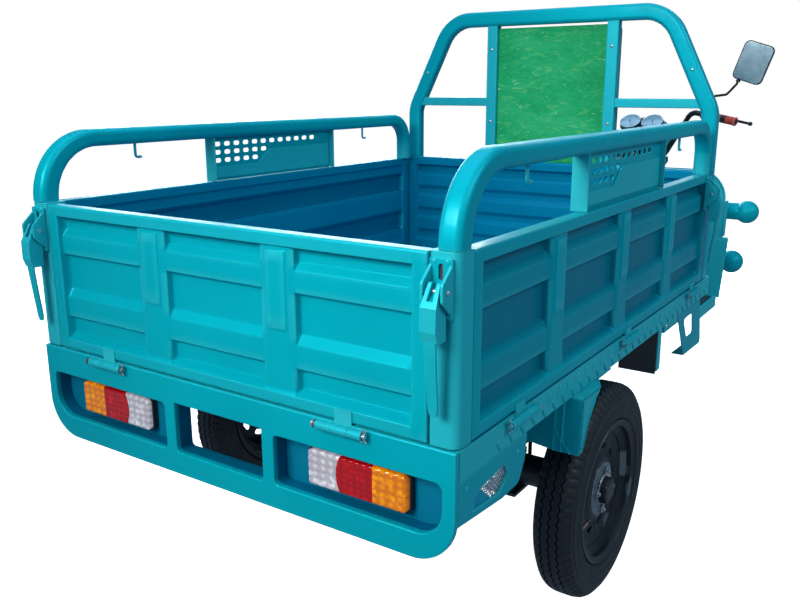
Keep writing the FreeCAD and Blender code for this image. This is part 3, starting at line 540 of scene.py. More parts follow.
def lens_mat(name, deep, mid, lite, cell, emit=0.0, painted_glint=0.75):
    p = Mat(name)
    d = p.voro(1.0, p.scaled((1.0, 1.0 / cell[0], 1.0 / cell[1])), rnd=0.0)
    n = p.noise(70, 3, 0.5)
    # Each optic cell is dark at its rim and light at its centre: painted shading and painted glints of the optics.
    c = p.mix(p.span(d, 0.10, 0.62, 1.0, 0.0), deep, mid)
    c = p.mix(p.span(d, 0.0, 0.22, painted_glint, 0.0), c, lite)
    c = p.mix(p.span(n, 0.52, 0.72, 0.0, 0.5), c, mid)
    p.col(c)
    p.rough(p.span(p.noise(240, 3), 0.3, 0.7, 0.05, 0.14))
    p.bump(p.noise(300, 2), 0.05, 0.0004)
    p.link(c, p.b.inputs["Emission Color"])
    p.set(Coat_Weight=0.6, Coat_Roughness=0.05, Specular_IOR_Level=0.3, Emission_Strength=emit)
    return p.m


L_RED = lens_mat("lens_red", lin(140, 0, 8), lin(220, 6, 16), lin(240, 50, 46), (0.0147, 0.0122), 0.36, 0.4)
L_AMB = lens_mat("lens_amber", lin(190, 100, 0), lin(255, 178, 0), lin(255, 216, 60), (0.0187, 0.0146), 0.42)
L_CLR = lens_mat("lens_clear", lin(150, 146, 154), lin(236, 234, 238), lin(255, 255, 255), (0.0185, 0.0146), 0.5, 1.0)


def film_mat():
    p = Mat("green_film")
    a = p.noise(5, 5, 0.6, p.scaled((1, 0.7, 1.6)))
    b = p.noise(34, 6, 0.62, p.scaled((1, 0.5, 1.5)), 1.2)
    c = p.ramp(a, [(0.3, lin(16, 148, 84)), (0.52, lin(34, 174, 106)), (0.75, lin(60, 190, 124))])
    c = p.mix(p.span(b, 0.56, 0.70, 0.0, 0.55), c, lin(120, 214, 116))
    w_ = p.noise(70, 5, 0.7, p.scaled((1, 0.35, 1.7)), 2.2)
    # Pale streaks at one end of the crease noise and dark streaks at the other: painted highlights and painted shade
    # along the film's creases.
    c = p.mix(p.span(w_, 0.60, 0.68, 0.0, 0.7), c, lin(186, 226, 160))
    c = p.mix(p.span(w_, 0.40, 0.32, 0.0, 0.6), c, lin(0, 104, 44))
    p.col(c)
    p.rough(p.span(b, 0.3, 0.7, 0.34, 0.5))
    p.bump(p.noise(40, 5, 0.6, p.scaled((1, 0.5, 1.6)), 1.4), 0.3, 0.004)
    p.bump(p.noise(420, 3), 0.08, 0.0006)
    p.set(Coat_Weight=0.04, Coat_Roughness=0.25, Specular_IOR_Level=0.05)
    return p.m


FILM = film_mat()


def vinyl_mat():
    p = Mat("seat_vinyl")
    v = p.voro(420, feature="DISTANCE_TO_EDGE")
    n = p.noise(9, 5, 0.6)
    c = p.ramp(n, [(0.3, lin(16, 20, 26)), (0.7, lin(34, 40, 48))])
    # Lighter on convex edges: painted edge highlight.
    c = p.mix(p.span(p.geo("Pointiness"), 0.51, 0.58, 0.0, 0.4), c, lin(80, 88, 96))
    p.col(c)
    p.rough(p.span(n, 0.3, 0.7, 0.34, 0.5))
    p.bump(p.span(v, 0.0, 0.2, 0.0, 1.0), 0.35, 0.0006)
    p.bump(p.noise(30, 4), 0.12, 0.003)
    p.set(Sheen_Weight=0.12)
    return p.m


VINYL = vinyl_mat()


def grip_mat():
    p = Mat("grip_red")
    n = p.noise(60, 5, 0.6)
    c = p.ramp(n, [(0.3, lin(176, 30, 24)), (0.7, lin(232, 70, 44))])
    # Lighter pink on convex ribs: painted highlight.
    c = p.mix(p.span(p.geo("Pointiness"), 0.51, 0.58, 0.0, 0.5), c, lin(255, 140, 110))
    p.col(c)
    p.rough(p.span(n, 0.3, 0.7, 0.42, 0.6))
    p.bump(p.noise(900, 3), 0.2, 0.0004)
    return p.m


GRIP = grip_mat()


def mirror_mat():
    p = Mat("mirror_glass")
    # A rough grey-blue colour stands in for what the mirror reflects: painted reflection.
    n = p.noise(26, 6, 0.65)
    c = p.ramp(n, [(0.3, lin(106, 144, 156)), (0.7, lin(142, 170, 180))])
    p.col(c)
    p.rough(p.span(p.noise(90, 5), 0.35, 0.8, 0.30, 0.5))
    p.bump(p.noise(60, 3), 0.03, 0.001)
    p.set(Metallic=0.2, Coat_Weight=0.25)
    return p.m


MIRROR = mirror_mat()
GLASS = simple("lamp_glass", lin(196, 208, 214), lin(232, 240, 244), 40, 0.04, 0.1, coat=1.0, bump=(120, 0.05, 0.0006))
DIAL = simple("dial_face", lin(150, 190, 206), lin(196, 226, 236), 12, 0.12, 0.22, coat=1.0, bump=(60, 0.02, 0.0004))
RIMGLOW = simple("dial_rim", lin(208, 226, 232), lin(244, 250, 252), 40, 0.14, 0.28, metal=0.4, bump=(300, 0.05, 0.0004))
ORANGE = simple("stem_brown", lin(150, 92, 74), lin(190, 130, 108), 60, 0.4, 0.55, bump=(600, 0.1, 0.0004))
CABLE = simple("cable_sheath", lin(14, 16, 18), lin(28, 30, 33), 50, 0.4, 0.55, bump=(700, 0.2, 0.0004))

# ---------------------------------------------------------------- camera, floor and light
cd = bpy.data.cameras.new("camera")
cam = bpy.data.objects.new("camera", cd)
scene.collection.objects.link(cam)
cd.sensor_fit, cd.sensor_width, cd.lens = "HORIZONTAL", 36.0, 37.647
cd.clip_start, cd.clip_end = 0.05, 200
yaw, pitch, roll = rad(33.76), rad(-14.258), rad(-0.098)
d = Vector((math.cos(pitch) * math.cos(yaw), math.cos(pitch) * math.sin(yaw), math.sin(pitch)))
r = Vector((math.sin(yaw), -math.cos(yaw), 0))
u = r.cross(d)
r2 = r * math.cos(roll) + u * math.sin(roll)
u2 = -r * math.sin(roll) + u * math.cos(roll)
mw = Matrix((r2, u2, -d)).transposed().to_4x4()
mw.translation = Vector((-2.5847, -1.1700, 1.1948))
cam.matrix_world = mw
scene.camera = cam
scene.view_settings.view_transform = "Standard"
scene.view_settings.look = "None"


def area(name, at, to, size, power, colour=(1, 1, 1)):
    l = bpy.data.lights.new(name, "AREA")
    l.shape, l.size, l.size_y = "RECTANGLE", size[0], size[1]
    l.energy, l.color = power, colour
    o = bpy.data.objects.new(name, l)
    scene.collection.objects.link(o)
    o.location = at
    o.rotation_euler = (Vector(to) - Vector(at)).to_track_quat("-Z", "Y").to_euler()
    o.visible_camera = False
    return o


key = area("key", (-3.9, 0.2, 2.3), (-1.5, -0.42, 1.24), (1.8, 1.0), 19.5, (1.0, 0.99, 0.97))
key.data.spread = math.radians(70)
area("top", (-0.4, 0.4, 4.6), (-0.4, 0.0, 0.0), (5.0, 3.0), 80, (0.50, 0.74, 1.0))
area("side", (-0.8, -4.4, 4.0), (-0.2, 0.0, 0.7), (4.0, 1.8), 100, (0.78, 0.92, 1.0))
area("front", (4.6, 1.4, 2.6), (0.6, 0.0, 0.7), (3.0, 2.0), 60, (0.94, 0.97, 1.0))
area("rim", (3.4, 3.6, 2.3), (-0.9, 0.0, 0.95), (4.4, 1.5), 230, (1.0, 0.98, 0.97))

wd = bpy.data.worlds.new("studio")
scene.world = wd
wd.use_nodes = True
nt = wd.node_tree
bg = nt.nodes["Background"]
bg.inputs["Strength"].default_value = 1.0
wt = nt.nodes.new("ShaderNodeTexCoord")
wz = nt.nodes.new("ShaderNodeSeparateXYZ")
wr = nt.nodes.new("ShaderNodeValToRGB")
wr.color_ramp.elements[0].position, wr.color_ramp.elements[0].color = 0.40, (0.18, 0.25, 0.34, 1)
wr.color_ramp.elements[1].position, wr.color_ramp.elements[1].color = 0.56, (0.08, 0.14, 0.22, 1)
wm = nt.nodes.new("ShaderNodeMapRange")
wm.inputs["From Min"].default_value, wm.inputs["From Max"].default_value = -1.0, 1.0
nt.links.new(wt.outputs["Generated"], wz.inputs[0])
nt.links.new(wz.outputs["Z"], wm.inputs["Value"])
nt.links.new(wm.outputs["Result"], wr.inputs["Fac"])
nt.links.new(wr.outputs["Color"], bg.inputs["Color"])
bg2 = nt.nodes.new("ShaderNodeBackground")
bg2.inputs["Color"].default_value = (1, 1, 1, 1)
bg2.inputs["Strength"].default_value = 1.0
lp = nt.nodes.new("ShaderNodeLightPath")
mx = nt.nodes.new("ShaderNodeMixShader")
nt.links.new(lp.outputs["Is Camera Ray"], mx.inputs[0])
nt.links.new(bg.outputs[0], mx.inputs[1])
nt.links.new(bg2.outputs[0], mx.inputs[2])
nt.links.new(mx.outputs[0], nt.nodes["World Output"].inputs["Surface"])

fm = Mat("floor_pale")
fm.col(fm.ramp(fm.noise(0.7, 3), [(0.3, (0.86, 0.87, 0.88, 1)), (0.7, (0.90, 0.905, 0.91, 1))]))
fm.set(Roughness=0.8, Emission_Color=(1.0, 1.0, 1.0, 1.0), Emission_Strength=0.93, Specular_IOR_Level=0.1)
fme = bpy.data.meshes.new("floor")
# a little below the wheels, so that they stay whole when the springs are let out
fme.from_pydata([(-30, -30, -0.036), (30, -30, -0.036), (30, 30, -0.036), (-30, 30, -0.036)], [], [(0, 1, 2, 3)])
fme.materials.append(fm.m)
floor = bpy.data.objects.new("floor", fme)
scene.collection.objects.link(floor)
floor.visible_diffuse = False
floor.visible_glossy = False


# ---------------------------------------------------------------- pressed panels
def pl(x, pts):
    return np.interp(x, [p[0] for p in pts], [p[1] for p in pts])


def spaced(vals, step):
    vals = sorted(vals)
    out = [vals[0]]
    for q in vals[1:]:
        if q - out[-1] < 0.3:
            continue
        k = int((q - out[-1]) // step)
        a = out[-1]
        out += [a + (q - a) * i / (k + 1) for i in range(1, k + 1)]
        out.append(q)
    return out


WALL = [(-2.2, 0), (-0.9, 0.4), (0, 1.5), (3, 14), (6, 19.5), (11, 21.6), (16, 22)]
WTOP = [(-2.2, 0), (-0.9, 0.4), (0, 1.5), (3, 16), (7, 22)]
WBOT = [(-2.6, 0), (-0.9, 0.5), (0, 1.7), (10, 21), (13.2, 22)]
BANDS = ((895, 881, 840, 833), (760, 743, 697, 690))


def pressed(u0, u1, ua, ub, w0, w1, wa, wb, bands, ribs, deep, hi, thick, sheet, seed, rr=4.5):
    """A pressed sheet panel: outer and inner faces as height fields, closed round the edge. u along, t deep, w up."""
    W = []
    for k in (0, 0.35, 1.1, 2.4, rr):
        W += [w0 + k, w1 - k]
    W += [wa + k for k in (-2.6, -0.9, 0, 5, 10, 13.2)] + [wb - k for k in (-2.2, -0.9, 0, 1.5, 3, 7)]
    for b in bands:
        for q in b:
            W += [q - 1.2, q + 1.2]
    if ribs:
        W += [735, 715, 690, 670, 767, 769.4, 913, 915.4]
    W = np.array(spaced(W, 17))
    bw = 26 + 11.5 * np.clip((735 - W) / 89.0, 0, 1) ** 1.25
    cols = []
    for k in (0, 0.35, 1.1, 2.4, rr):
        cols += [u0 + k + 0 * W, u1 - k + 0 * W]
    for k in (-2.2, -0.9, 0, 1.5, 3, 6, 11, 16):
        cols += [ua + k + 0 * W, ub - k + 0 * W]
    for c in ribs:
        for sg in (-1, 1):
            for q in (21.2, 23.6, 38.9, 40.3, 42.3, 43.7):
                cols.append(c + sg * q + 0 * W)
            cols += [c + sg * (bw - 0.9), c + sg * (bw + 0.9)]
    cols.sort(key=lambda c: float(c[len(c) // 2]))
    full = [cols[0]]
    for c in cols[1:]:
        a = full[-1]
        g = float(np.max(np.abs(c - a)))
        if g < 0.3:
            continue
        k = int(g // 20)
        full += [a + (c - a) * i / (k + 1) for i in range(1, k + 1)]
        full.append(c)
    U = np.array(full).T
    WW = np.repeat(W[:, None], U.shape[1], 1)
    BW = np.repeat(bw[:, None], U.shape[1], 1)
    kd = deep / 22.0
    ain = np.minimum(U - ua, ub - U)
    t = np.minimum(pl(ain, WALL), np.minimum(pl(wb - WW, WTOP), pl(WW - wa, WBOT))) * kd
    bt = np.full_like(t, deep)
    for a, b, c, e in bands:
        bt = np.minimum(bt, pl(WW, [(e, deep), (c, hi), (b, hi), (a, deep)]))
    t = np.minimum(t, bt)
    for c in ribs:
        q = np.abs(U - c)
        tr = np.where(q <= BW, 4.6, np.where(q <= 39.6, 4.6 + 3.9 * (q - BW) / np.maximum(39.6 - BW, 0.5), np.where(q <= 43.0, 8.5 + 13.5 * (q - 39.6) / 3.4, 99)))
        tr = np.where((q < 22.4) & (WW > 768.2) & (WW < 914.2), 1.2, tr)
        t = np.minimum(t, tr)
    wav = np.array([[noise.noise((x * 0.009, z * 0.011, seed)) for x, z in zip(ru, rw)] for ru, rw in zip(U, WW)])
    de = np.minimum(np.minimum(U - u0, u1 - U), np.minimum(WW - w0, w1 - WW))
    t = t + 0.45 * wav * np.clip(de / 12.0, 0, 1)
    edge = np.where(de < rr, rr - np.sqrt(np.maximum(0, rr * rr - (rr - de) ** 2)), 0)
    t = np.maximum(t, edge)
    kin = np.clip((np.minimum(ain, np.minimum(wb - WW, WW - wa)) + 1.5) / 5.5, 0, 1)
    ti = thick * (1 - kin) + (bt + sheet) * kin + 0.35 * wav * kin
    ti = np.maximum(np.minimum(ti, thick - edge), t + 2.0)
    nw, nu = U.shape
    v = [(U[j, i], t[j, i], W[j]) for j in range(nw) for i in range(nu)] + [(U[j, i], ti[j, i], W[j]) for j in range(nw) for i in range(nu)]
    o = nw * nu
    f = []
    for j in range(nw - 1):
        for i in range(nu - 1):
            a = j * nu + i
            f.append((a, a + 1, a + nu + 1, a + nu))
            f.append((o + a, o + a + nu, o + a + nu + 1, o + a + 1))
    ring = [i for i in range(nu)] + [j * nu + nu - 1 for j in range(1, nw)] + [(nw - 1) * nu + i for i in range(nu - 2, -1, -1)] + [j * nu for j in range(nw - 2, 0, -1)]
    for a, b in zip(ring, ring[1:] + ring[:1]):
        f.append((b, a, o + a, o + b))
    s = Shape()
    s.add(v, f)
    return s


def facing_in(s, ob, test):
    """Gives the faces that the test picks the second material."""
    for p in ob.data.polygons:
        if test(p):
            p.material_index = 1


# tailgate
tg = pressed(-492, 492, -462, 462, 622, 947, 646, 923, BANDS, (-168, 168), 22, 9, 32, 3, 1.3, 5.0).map(lambda p: (p[1], p[0], p[2]), True)
o = piece("tailgate_panel", tg, "tailgate_body", ("tailgate",), (TEAL, TEAL_SHADED))
# Faces turned into the bed get the darker shaded copy of the paint: painted shade.
for p in o.data.polygons:
    if p.normal.x > 0.3:
        p.material_index = 1


th = Shape()
for sg in (-1, 1):
    y0 = sg * 320
    prism(th, rounded([(y0 - 19, 612), (y0 + 19, 612), (y0 + 19, 646), (y0 - 19, 646)], [0, 0, 2, 2], 3), "x", -2.6, 1.5)
    spin(th, [(5.06, -19.6), (8.7, -19.6), (9, -19.3), (9, 19.3), (8.7, 19.6), (5.06, 19.6)], (-13, y0, 611), (0, 1, 0), 28, closed=True)
piece("tailgate_hinges", th, "tailgate_body", ("tailgate",), (TEAL,), bevel=0.5)


# ---------------------------------------------------------------- sides
def oval_section(hn, hd, r, n=6):
    p = []
    for cx, cy, a in ((hn - r, hd - r, 0), (-hn + r, hd - r, 90), (-hn + r, -hd + r, 180), (hn - r, -hd + r, 270)):
        p += [(cx + r * math.cos(rad(a + 90 * k / n)), cy + r * math.sin(rad(a + 90 * k / n))) for k in range(n + 1)]
    return p


def bent_bar(s, pairs, lift, hd, r, mat=0, n=6):
    """A flat-oval tube given by its outer and inner lines; lift makes a 3-D point from (a, b, depth)."""
    rings = []
    for o_, i_ in pairs:
        o_, i_ = np.array(o_), np.array(i_)
        c, h = (o_ + i_) / 2, (o_ - i_) / 2
        hn = float(np.linalg.norm(h))
        e = h / hn
        rings.append([lift(c[0] + e[0] * a, c[1] + e[1] * a, b) for a, b in oval_section(hn, hd, r, n)])
    return skin(s, rings, mat=mat)


def side_rail():
    pr = [((0.4, 950.4), (47.6, 950.4)), ((0.2, 952), (47.8, 952))]
    n = 36
    for k in range(n + 1):
        a = rad(180 - 90 * k / n)
        w = 0.25 * math.sin(k * 1.1) * math.sin(math.pi * k / n)
        pr.append(((150 + 150 * math.cos(a), 953 + 150 * math.sin(a)), (158 + (110 + w) * math.cos(a), 953 + (110 + w) * math.sin(a))))
    for k in range(1, 20):
        x = 150 + 1245 * k / 20
        w = 0.5 * noise.noise((x * 0.01, 3.1, 0))
        pr.append(((x, 1103 - 0.3 + 0.3 * w), (x, 1063 + w)))
    for k in range(n + 1):
        a = rad(90 - 90 * k / n)
        w = 0.2 * math.sin(k * 1.1) * math.sin(math.pi * k / n)
        pr.append(((1395 + 95 * math.cos(a), 1008 + 95 * math.sin(a)), (1395 + (57 + w) * math.cos(a), 1006 + (57 + w) * math.sin(a))))
    pr.append(((1490, 947.2), (1452, 947.2)))
    s = Shape()
    return bent_bar(s, pr, lambda a, b, c: (a, -527.5 + c, b), 22.5, 14.5, n=8)


side = pressed(51, 1490, 79, 1456, 622, 947, 646, 923, BANDS, (401, 776, 1140), 22, 9, 32, 3, 4.7, 4.0).map(lambda p: (p[0], -550 + p[1], p[2]))
post = Shape()
prism(post, rounded([(0, -550), (49.2, -550), (49.2, -495), (0, -495)], [17, 2.5, 2.5, 8], 6), "z", 622, 949.6)
rail = side_rail()

pf = plate([[(530, 947.5), (1040, 947.5), (1040, 1064.5), (530, 1064.5)]] + [stadium((556 + i * 36.5, zc), 6, 6) for zc, n in ((1046, 12), (1024, 6), (1002, 5)) for i in range(n)], 3, 0.7)
perf = pf.map(lambda p: (p[0], -531 + p[2], p[1]))
emb = Shape()
prism(emb, rounded([(537, 954), (1033, 954), (1033, 1024), (760, 1024), (710, 985), (537, 985)], [5, 5, 6, 10, 10, 5], 4), "y", -534.5, -524.5)
fl = Shape()
for a in (526, 1040):
    box(fl, a, a + 4, -546, -509, 947.5, 1065)
hk = Shape()
for x in (278, 1220):
    tube(hk, rounded([(x, -527, 1066), (x, -527, 1030), (x + 16, -527, 1030)], [0, 7, 0], 5, False), 3.5, 10)
    ball(hk, (x + 16, -527, 1030), 3.5, seg=10, rings=6, axis=(1, 0, 0))


def keeper():
    """Latch seat: a base plate with a key slot, two ears and fixing screws. Made for the right rear post."""
    s = plate([rounded([(-541, 842), (-499, 842), (-499, 940), (-541, 940)], 4, 4), rounded([(-524, 905), (-516, 905), (-516, 931), (-524, 931)], 3.8, 4)], 6, 1.0).map(lambda p: (-6 + p[2], p[0], p[1]))
    for a in (-541, -504):
        prism(s, rounded([(-5, 850), (-34, 876), (-34, 904), (-5, 930)], [0, 7, 10, 0], 4), "y", a, a + 5)
    for y, z in ((-532, 935), (-508, 935), (-532, 847.5), (-508, 847.5)):
        spin(s, [(0, -1.7), (2.2, -1.7), (3.2, -0.6), (3.2, 1)], (-6, y, z), (1, 0, 0), 12)
    # A black sheet just behind the key slot stands in for the shade deep inside it: painted shade.
    slot_shade = Shape()
    prism(slot_shade, [(-523.5, 905.5), (-516.5, 905.5), (-516.5, 930.5), (-523.5, 930.5)], "x", -1.4, 0.3)
    return s, slot_shade


kp, kslot_shade = keeper()


def to_front(p):
    return (944 - p[1], -550 + p[0], p[2])


def side_hinges():
    s = Shape()
    for c in (232, 823, 1379):
        prism(s, rounded([(c - 19, 608), (c + 19, 608), (c + 19, 634), (c - 19, 634)], [0, 0, 2, 2], 3), "y", -552.4, -548.5)
        spin(s, [(5.06, -19.6), (8.7, -19.6), (9, -19.3), (9, 19.3), (8.7, 19.6), (5.06, 19.6)], (c, -560, 607), (1, 0, 0), 28, closed=True)
    return s


sh = side_hinges()
for sg, nm in ((-1, "right"), (1, "left")):
    m = (lambda q: q) if sg < 0 else (lambda q: q.mirror())
    body, node = "side_" + nm, ("side_panel_" + nm,)
    o = piece("side_%s_panel" % nm, m(side), body, node, (TEAL, TEAL_SHADED))
    # Faces turned into the bed get the darker shaded copy of the paint: painted shade.
    for p in o.data.polygons:
        if p.normal.y * sg < -0.3:
            p.material_index = 1
    # 'deep' grows with the depth of each recess, so the paint darkens there: painted shade.
    recess_shade = o.data.attributes.new("deep", "FLOAT", "POINT")
    recess_shade.data.foreach_set("value", [min(1.0, max(0.0, (548.5 - abs(v_.co.y) * 1000) / 17.0)) if abs(v_.co.y) > 0.5265 else 0.0 for v_ in o.data.vertices])
    piece("side_%s_post" % nm, m(post), body, node, (TEAL,), bevel=1.6)
    piece("side_%s_rail" % nm, m(rail), body, node, (TEAL,), sharp=45)
    piece("side_%s_plate" % nm, m(perf), body, node, (TEAL,), sharp=35)
    e = Shape().join(emb).join(fl)
    piece("side_%s_plate_press" % nm, m(e), body, node, (TEAL,), bevel=1.5)
    piece("side_%s_rope_hooks" % nm, m(hk), body, node, (TEAL,), sharp=40)
    k2 = Shape().join(kp).join(kp.map(to_front))
    piece("side_%s_latch_seats" % nm, m(k2), body, node, (TEAL,), bevel=0.8)
    # Black sheets behind the key slots: painted shade.
    k3 = Shape().join(kslot_shade).join(kslot_shade.map(to_front))
    piece("side_%s_key_slot_shade_sheets" % nm, m(k3), body, node, (BLACK,), bevel=0.3)
    piece("side_%s_hinges" % nm, m(sh), body, node, (TEAL,), bevel=0.8)


# ---------------------------------------------------------------- latch levers
def lever():
    w = Shape()
    prism(w, rounded([(-11, 903), (-24, 905), (-44, 868), (-45, 829), (-38, 810), (-14, 810), (-10, 880)], [4, 4, 3, 4, 5, 3, 3], 4), "y", -535, -505)
    c = Shape()
    prism(c, [(-14, 912), (-34, 912), (-60, 884), (-33, 876), (-14, 896)], "y", -526, -514)
    c2 = Shape()
    prism(c2, [(-4, 866), (-27, 866), (-40, 832), (-34, 800), (-8, 800)], "y", -531.5, -508.5)
    w = cut(cut(w, c), c2)
    w = w.map(lambda q: (q[0], -520 + (q[1] + 520) * float(np.interp(q[2], [868, 904], [1.0, 0.74])), q[2]))
    h = Shape()
    path = [(-37.5, -520, 836), (-36.5, -520, 815), (-34, -520, 785), (-30.5, -520, 750), (-27, -520, 718), (-25, -520, 696), (-24.4, -520, 687), (-24.2, -520, 684.4)]
    sec = oval_section(10.5, 2.7, 2.2, 3)
    ribbon(h, path, sec, up=(1, 0, 0), scale=[(1.12, 1), (1.1, 1), (1.0, 1), (0.92, 1), (0.92, 1), (0.88, 1), (0.62, 0.9), (0.3, 0.6)])
    p = Shape()
    spin(p, [(0, -544), (3.2, -544), (4, -543.2), (4, -496.8), (3.2, -496), (0, -496)], (-20, 0, 890), (0, 1, 0), 16)
    return w, h, p


lw, lh, lpn = lever()
for sg, nm in ((-1, "right"), (1, "left")):
    for end in ("rear", "front"):
        fn = (lambda q: q) if end == "rear" else (lambda q: q.map(to_front))
        m = (lambda q: fn(q)) if sg < 0 else (lambda q: fn(q).mirror())
        body, node = "%s_latch_%s" % (end, nm), ("latch_%s_%s" % (end, nm),)
        a = Shape().join(lw).join(lh)
        piece("latch_%s_%s_lever" % (end, nm), m(a), body, node, (TEAL,), bevel=1.1)
        piece("latch_%s_%s_pin" % (end, nm), m(lpn), body, node, (STEEL,), sharp=40)

# ---------------------------------------------------------------- bed
bed = Shape()
# deck with shallow lengthwise grooves
prof = [(-514, 613.5)]
y = -514.0
while y < 513:
    for dy, z in ((0, 618), (44, 618), (47, 616.2), (53, 616.2), (56, 618)):
        if y + dy <= 514:
            prof.append((y + dy, z))
    y += 57.0
prof += [(514, 618), (514, 613.5)]
v = [(60, p[0], p[1]) for p in prof] + [(1494, p[0], p[1]) for p in prof]
n = len(prof)
bed.add(v, [tuple(range(n))[::-1], tuple(range(n, 2 * n))] + [(i, (i + 1) % n, n + (i + 1) % n, n + i) for i in range(n)])
box(bed, 57, 1590, -547, 547, 612, 616)
box(bed, 1498, 1590, -547, 547, 614, 618)
box(bed, 1587, 1590, -547, 547, 560, 616)
for x in (190, 500, 880, 1240, 1480):
    prism(bed, [(x, 560), (x + 3, 560), (x + 3, 611), (x + 37, 611), (x + 37, 560), (x + 40, 560), (x + 40, 615), (x, 615)], "y", -521, 521)
# The deck takes the darker shaded copy of the paint: painted shade.
piece("bed_deck", bed, "chassis", ("cargo_floor",), (TEAL_SHADED,), bevel=0.7)

sk = Shape()
prism(sk, rounded([(-520, 560), (-550, 560), (-550, 618), (-547, 618), (-547, 563), (-520, 563)], [0, 3.2, 1, 1, 0.4, 0], 3), "x", 11.4, 1590)
drops = Shape()
for rw_, z0 in enumerate((575, 599)):
    x = 150.0 + rw_ * 24
    while x < 1575:
        if all(abs(x - c) > 66 or z0 < 580 for c in (232, 823, 1379)):
            a = rad(56 if rw_ else -56)
            L, Wd = 14.5, 2.9
            lv = []
            for hgt, k_ in ((-549.8, 1.0), (-551.6, 0.80), (-552.4, 0.4)):
                ring_ = []
                for k in range(14):
                    q = 2 * math.pi * k / 14
                    lx, lz = L * k_ ** 0.6 * math.cos(q), Wd * k_ * math.sin(q) * (1.0 - 0.3 * math.cos(q))
                    ring_.append((x + lx * math.cos(a) - lz * math.sin(a), hgt, z0 + lx * math.sin(a) + lz * math.cos(a)))
                lv.append(ring_)
            skin(drops, lv)
        x += 48.0
kn = Shape()
for c in (232, 823, 1379):
    for a, b in ((c - 55, c - 20), (c + 20, c + 55)):
        spin(kn, [(5.06, a), (8.2, a), (9, a + 0.8), (9, b - 0.8), (8.2, b), (5.06, b)], (0, -560, 607), (1, 0, 0), 28, closed=True)
        prism(kn, [(a + 1, 600), (b - 1, 600), (b - 1, 613), (a + 1, 613)], "y", -556, -549.5)
piece("bed_skirts", sk.both(), "chassis", ("cargo_floor",), (TEAL,), bevel=0.5)
piece("bed_skirt_tread", drops.both(), "chassis", ("cargo_floor",), (TEAL,), wn=False)
piece("side_hinge_knuckles", kn.both(), "chassis", ("cargo_floor",), (TEAL,), bevel=0.6)
tk = Shape()
for sg in (-1, 1):
    for a, b in ((sg * 320 - 50, sg * 320 - 20), (sg * 320 + 20, sg * 320 + 50)):
        spin(tk, [(5.06, a), (8.2, a), (9, a + 0.8), (9, b - 0.8), (8.2, b), (5.06, b)], (-13, 0, 611), (0, 1, 0), 28, closed=True)
        prism(tk, [(a + 1, 604), (b - 1, 604), (b - 1, 617), (a + 1, 617)], "x", -9, -2.5)
piece("tailgate_hinge_knuckles", tk, "chassis", ("cargo_floor",), (TEAL,), bevel=0.6)

pins = Shape()


def pin(s, o_, ax, sgn):
    """Hinge pin with a domed head at one end and a bent split pin through the other."""
    ax = Vector(ax) * sgn
    o_ = Vector(o_)
    spin(s, [(0, -57), (4.2, -57), (5, -56), (5, 56), (8, 56), (8, 59.4), (6.6, 61), (0, 61)], o_, ax, 20)
    p = o_ - ax * 54
    up = Vector((0, 0, 1))
    sd = ax.cross(up)
    lp_ = [p + up * 9 - ax * 3.2, p + up * 12.6 - ax * 1.8, p + up * 12.8 + ax * 1.8, p + up * 9 + ax * 3.2, p + up * 5, p - up * 6, p - up * 10 + ax * 4, p - up * 11.5 + ax * 8]
    tube(s, [tuple(q) for q in lp_], 1.3, 8)
    tube(s, [tuple(q) for q in (p + up * 9 - ax * 3.2, p + up * 5 - ax * 0.5, p - up * 7 - ax * 0.8, p - up * 11 - ax * 4)], 1.2, 8)


for sg in (-1, 1):
    pin(pins, (-13, sg * 320, 611), (0, 1, 0), 1)
    for c in (232, 823, 1379):
        pin(pins, (c, sg * 560, 607), (1, 0, 0), 1)
piece("hinge_pins_split", pins, "chassis", ("hinge_pins",), (STEEL,), sharp=40)

# ---------------------------------------------------------------- front wall
FB = ((900, 888, 850, 838), (820, 808, 770, 758), (740, 728, 690, 678))
fw = pressed(-545, 545, -489, 489, 619, 952, 652, 924, FB, (), 20, 9, 30, 3, 8.1, 4.5).map(lambda p: (1500 + p[1], p[0], p[2]), True)
# The front wall takes the darker shaded copy of the paint: painted shade.
piece("front_wall_panel", fw, "chassis", ("front_wall",), (TEAL_SHADED,))

# ---------------------------------------------------------------- roll bar
def rb_line(off, zb=618.0):
    k = math.hypot(120, 241)
    nx, nz = 241 / k, 120 / k
    y0, zt = 545 - off, 1441 - off
    px, pz = 545 - off * nx, 1128 - off * nz
    at_y = lambda y: pz + (y - px) / (-120.0 / 241.0)
    at_z = lambda z: px + (z - pz) * (-120.0 / 241.0)
    p = [(y0, zb), (y0, at_y(y0)), (at_z(zt), zt), (-at_z(zt), zt), (-y0, at_y(y0)), (-y0, zb)]
    rr = [0, 130 - off, 144 - off, 144 - off, 130 - off, 0]
    return rounded(p, rr, 20, False)


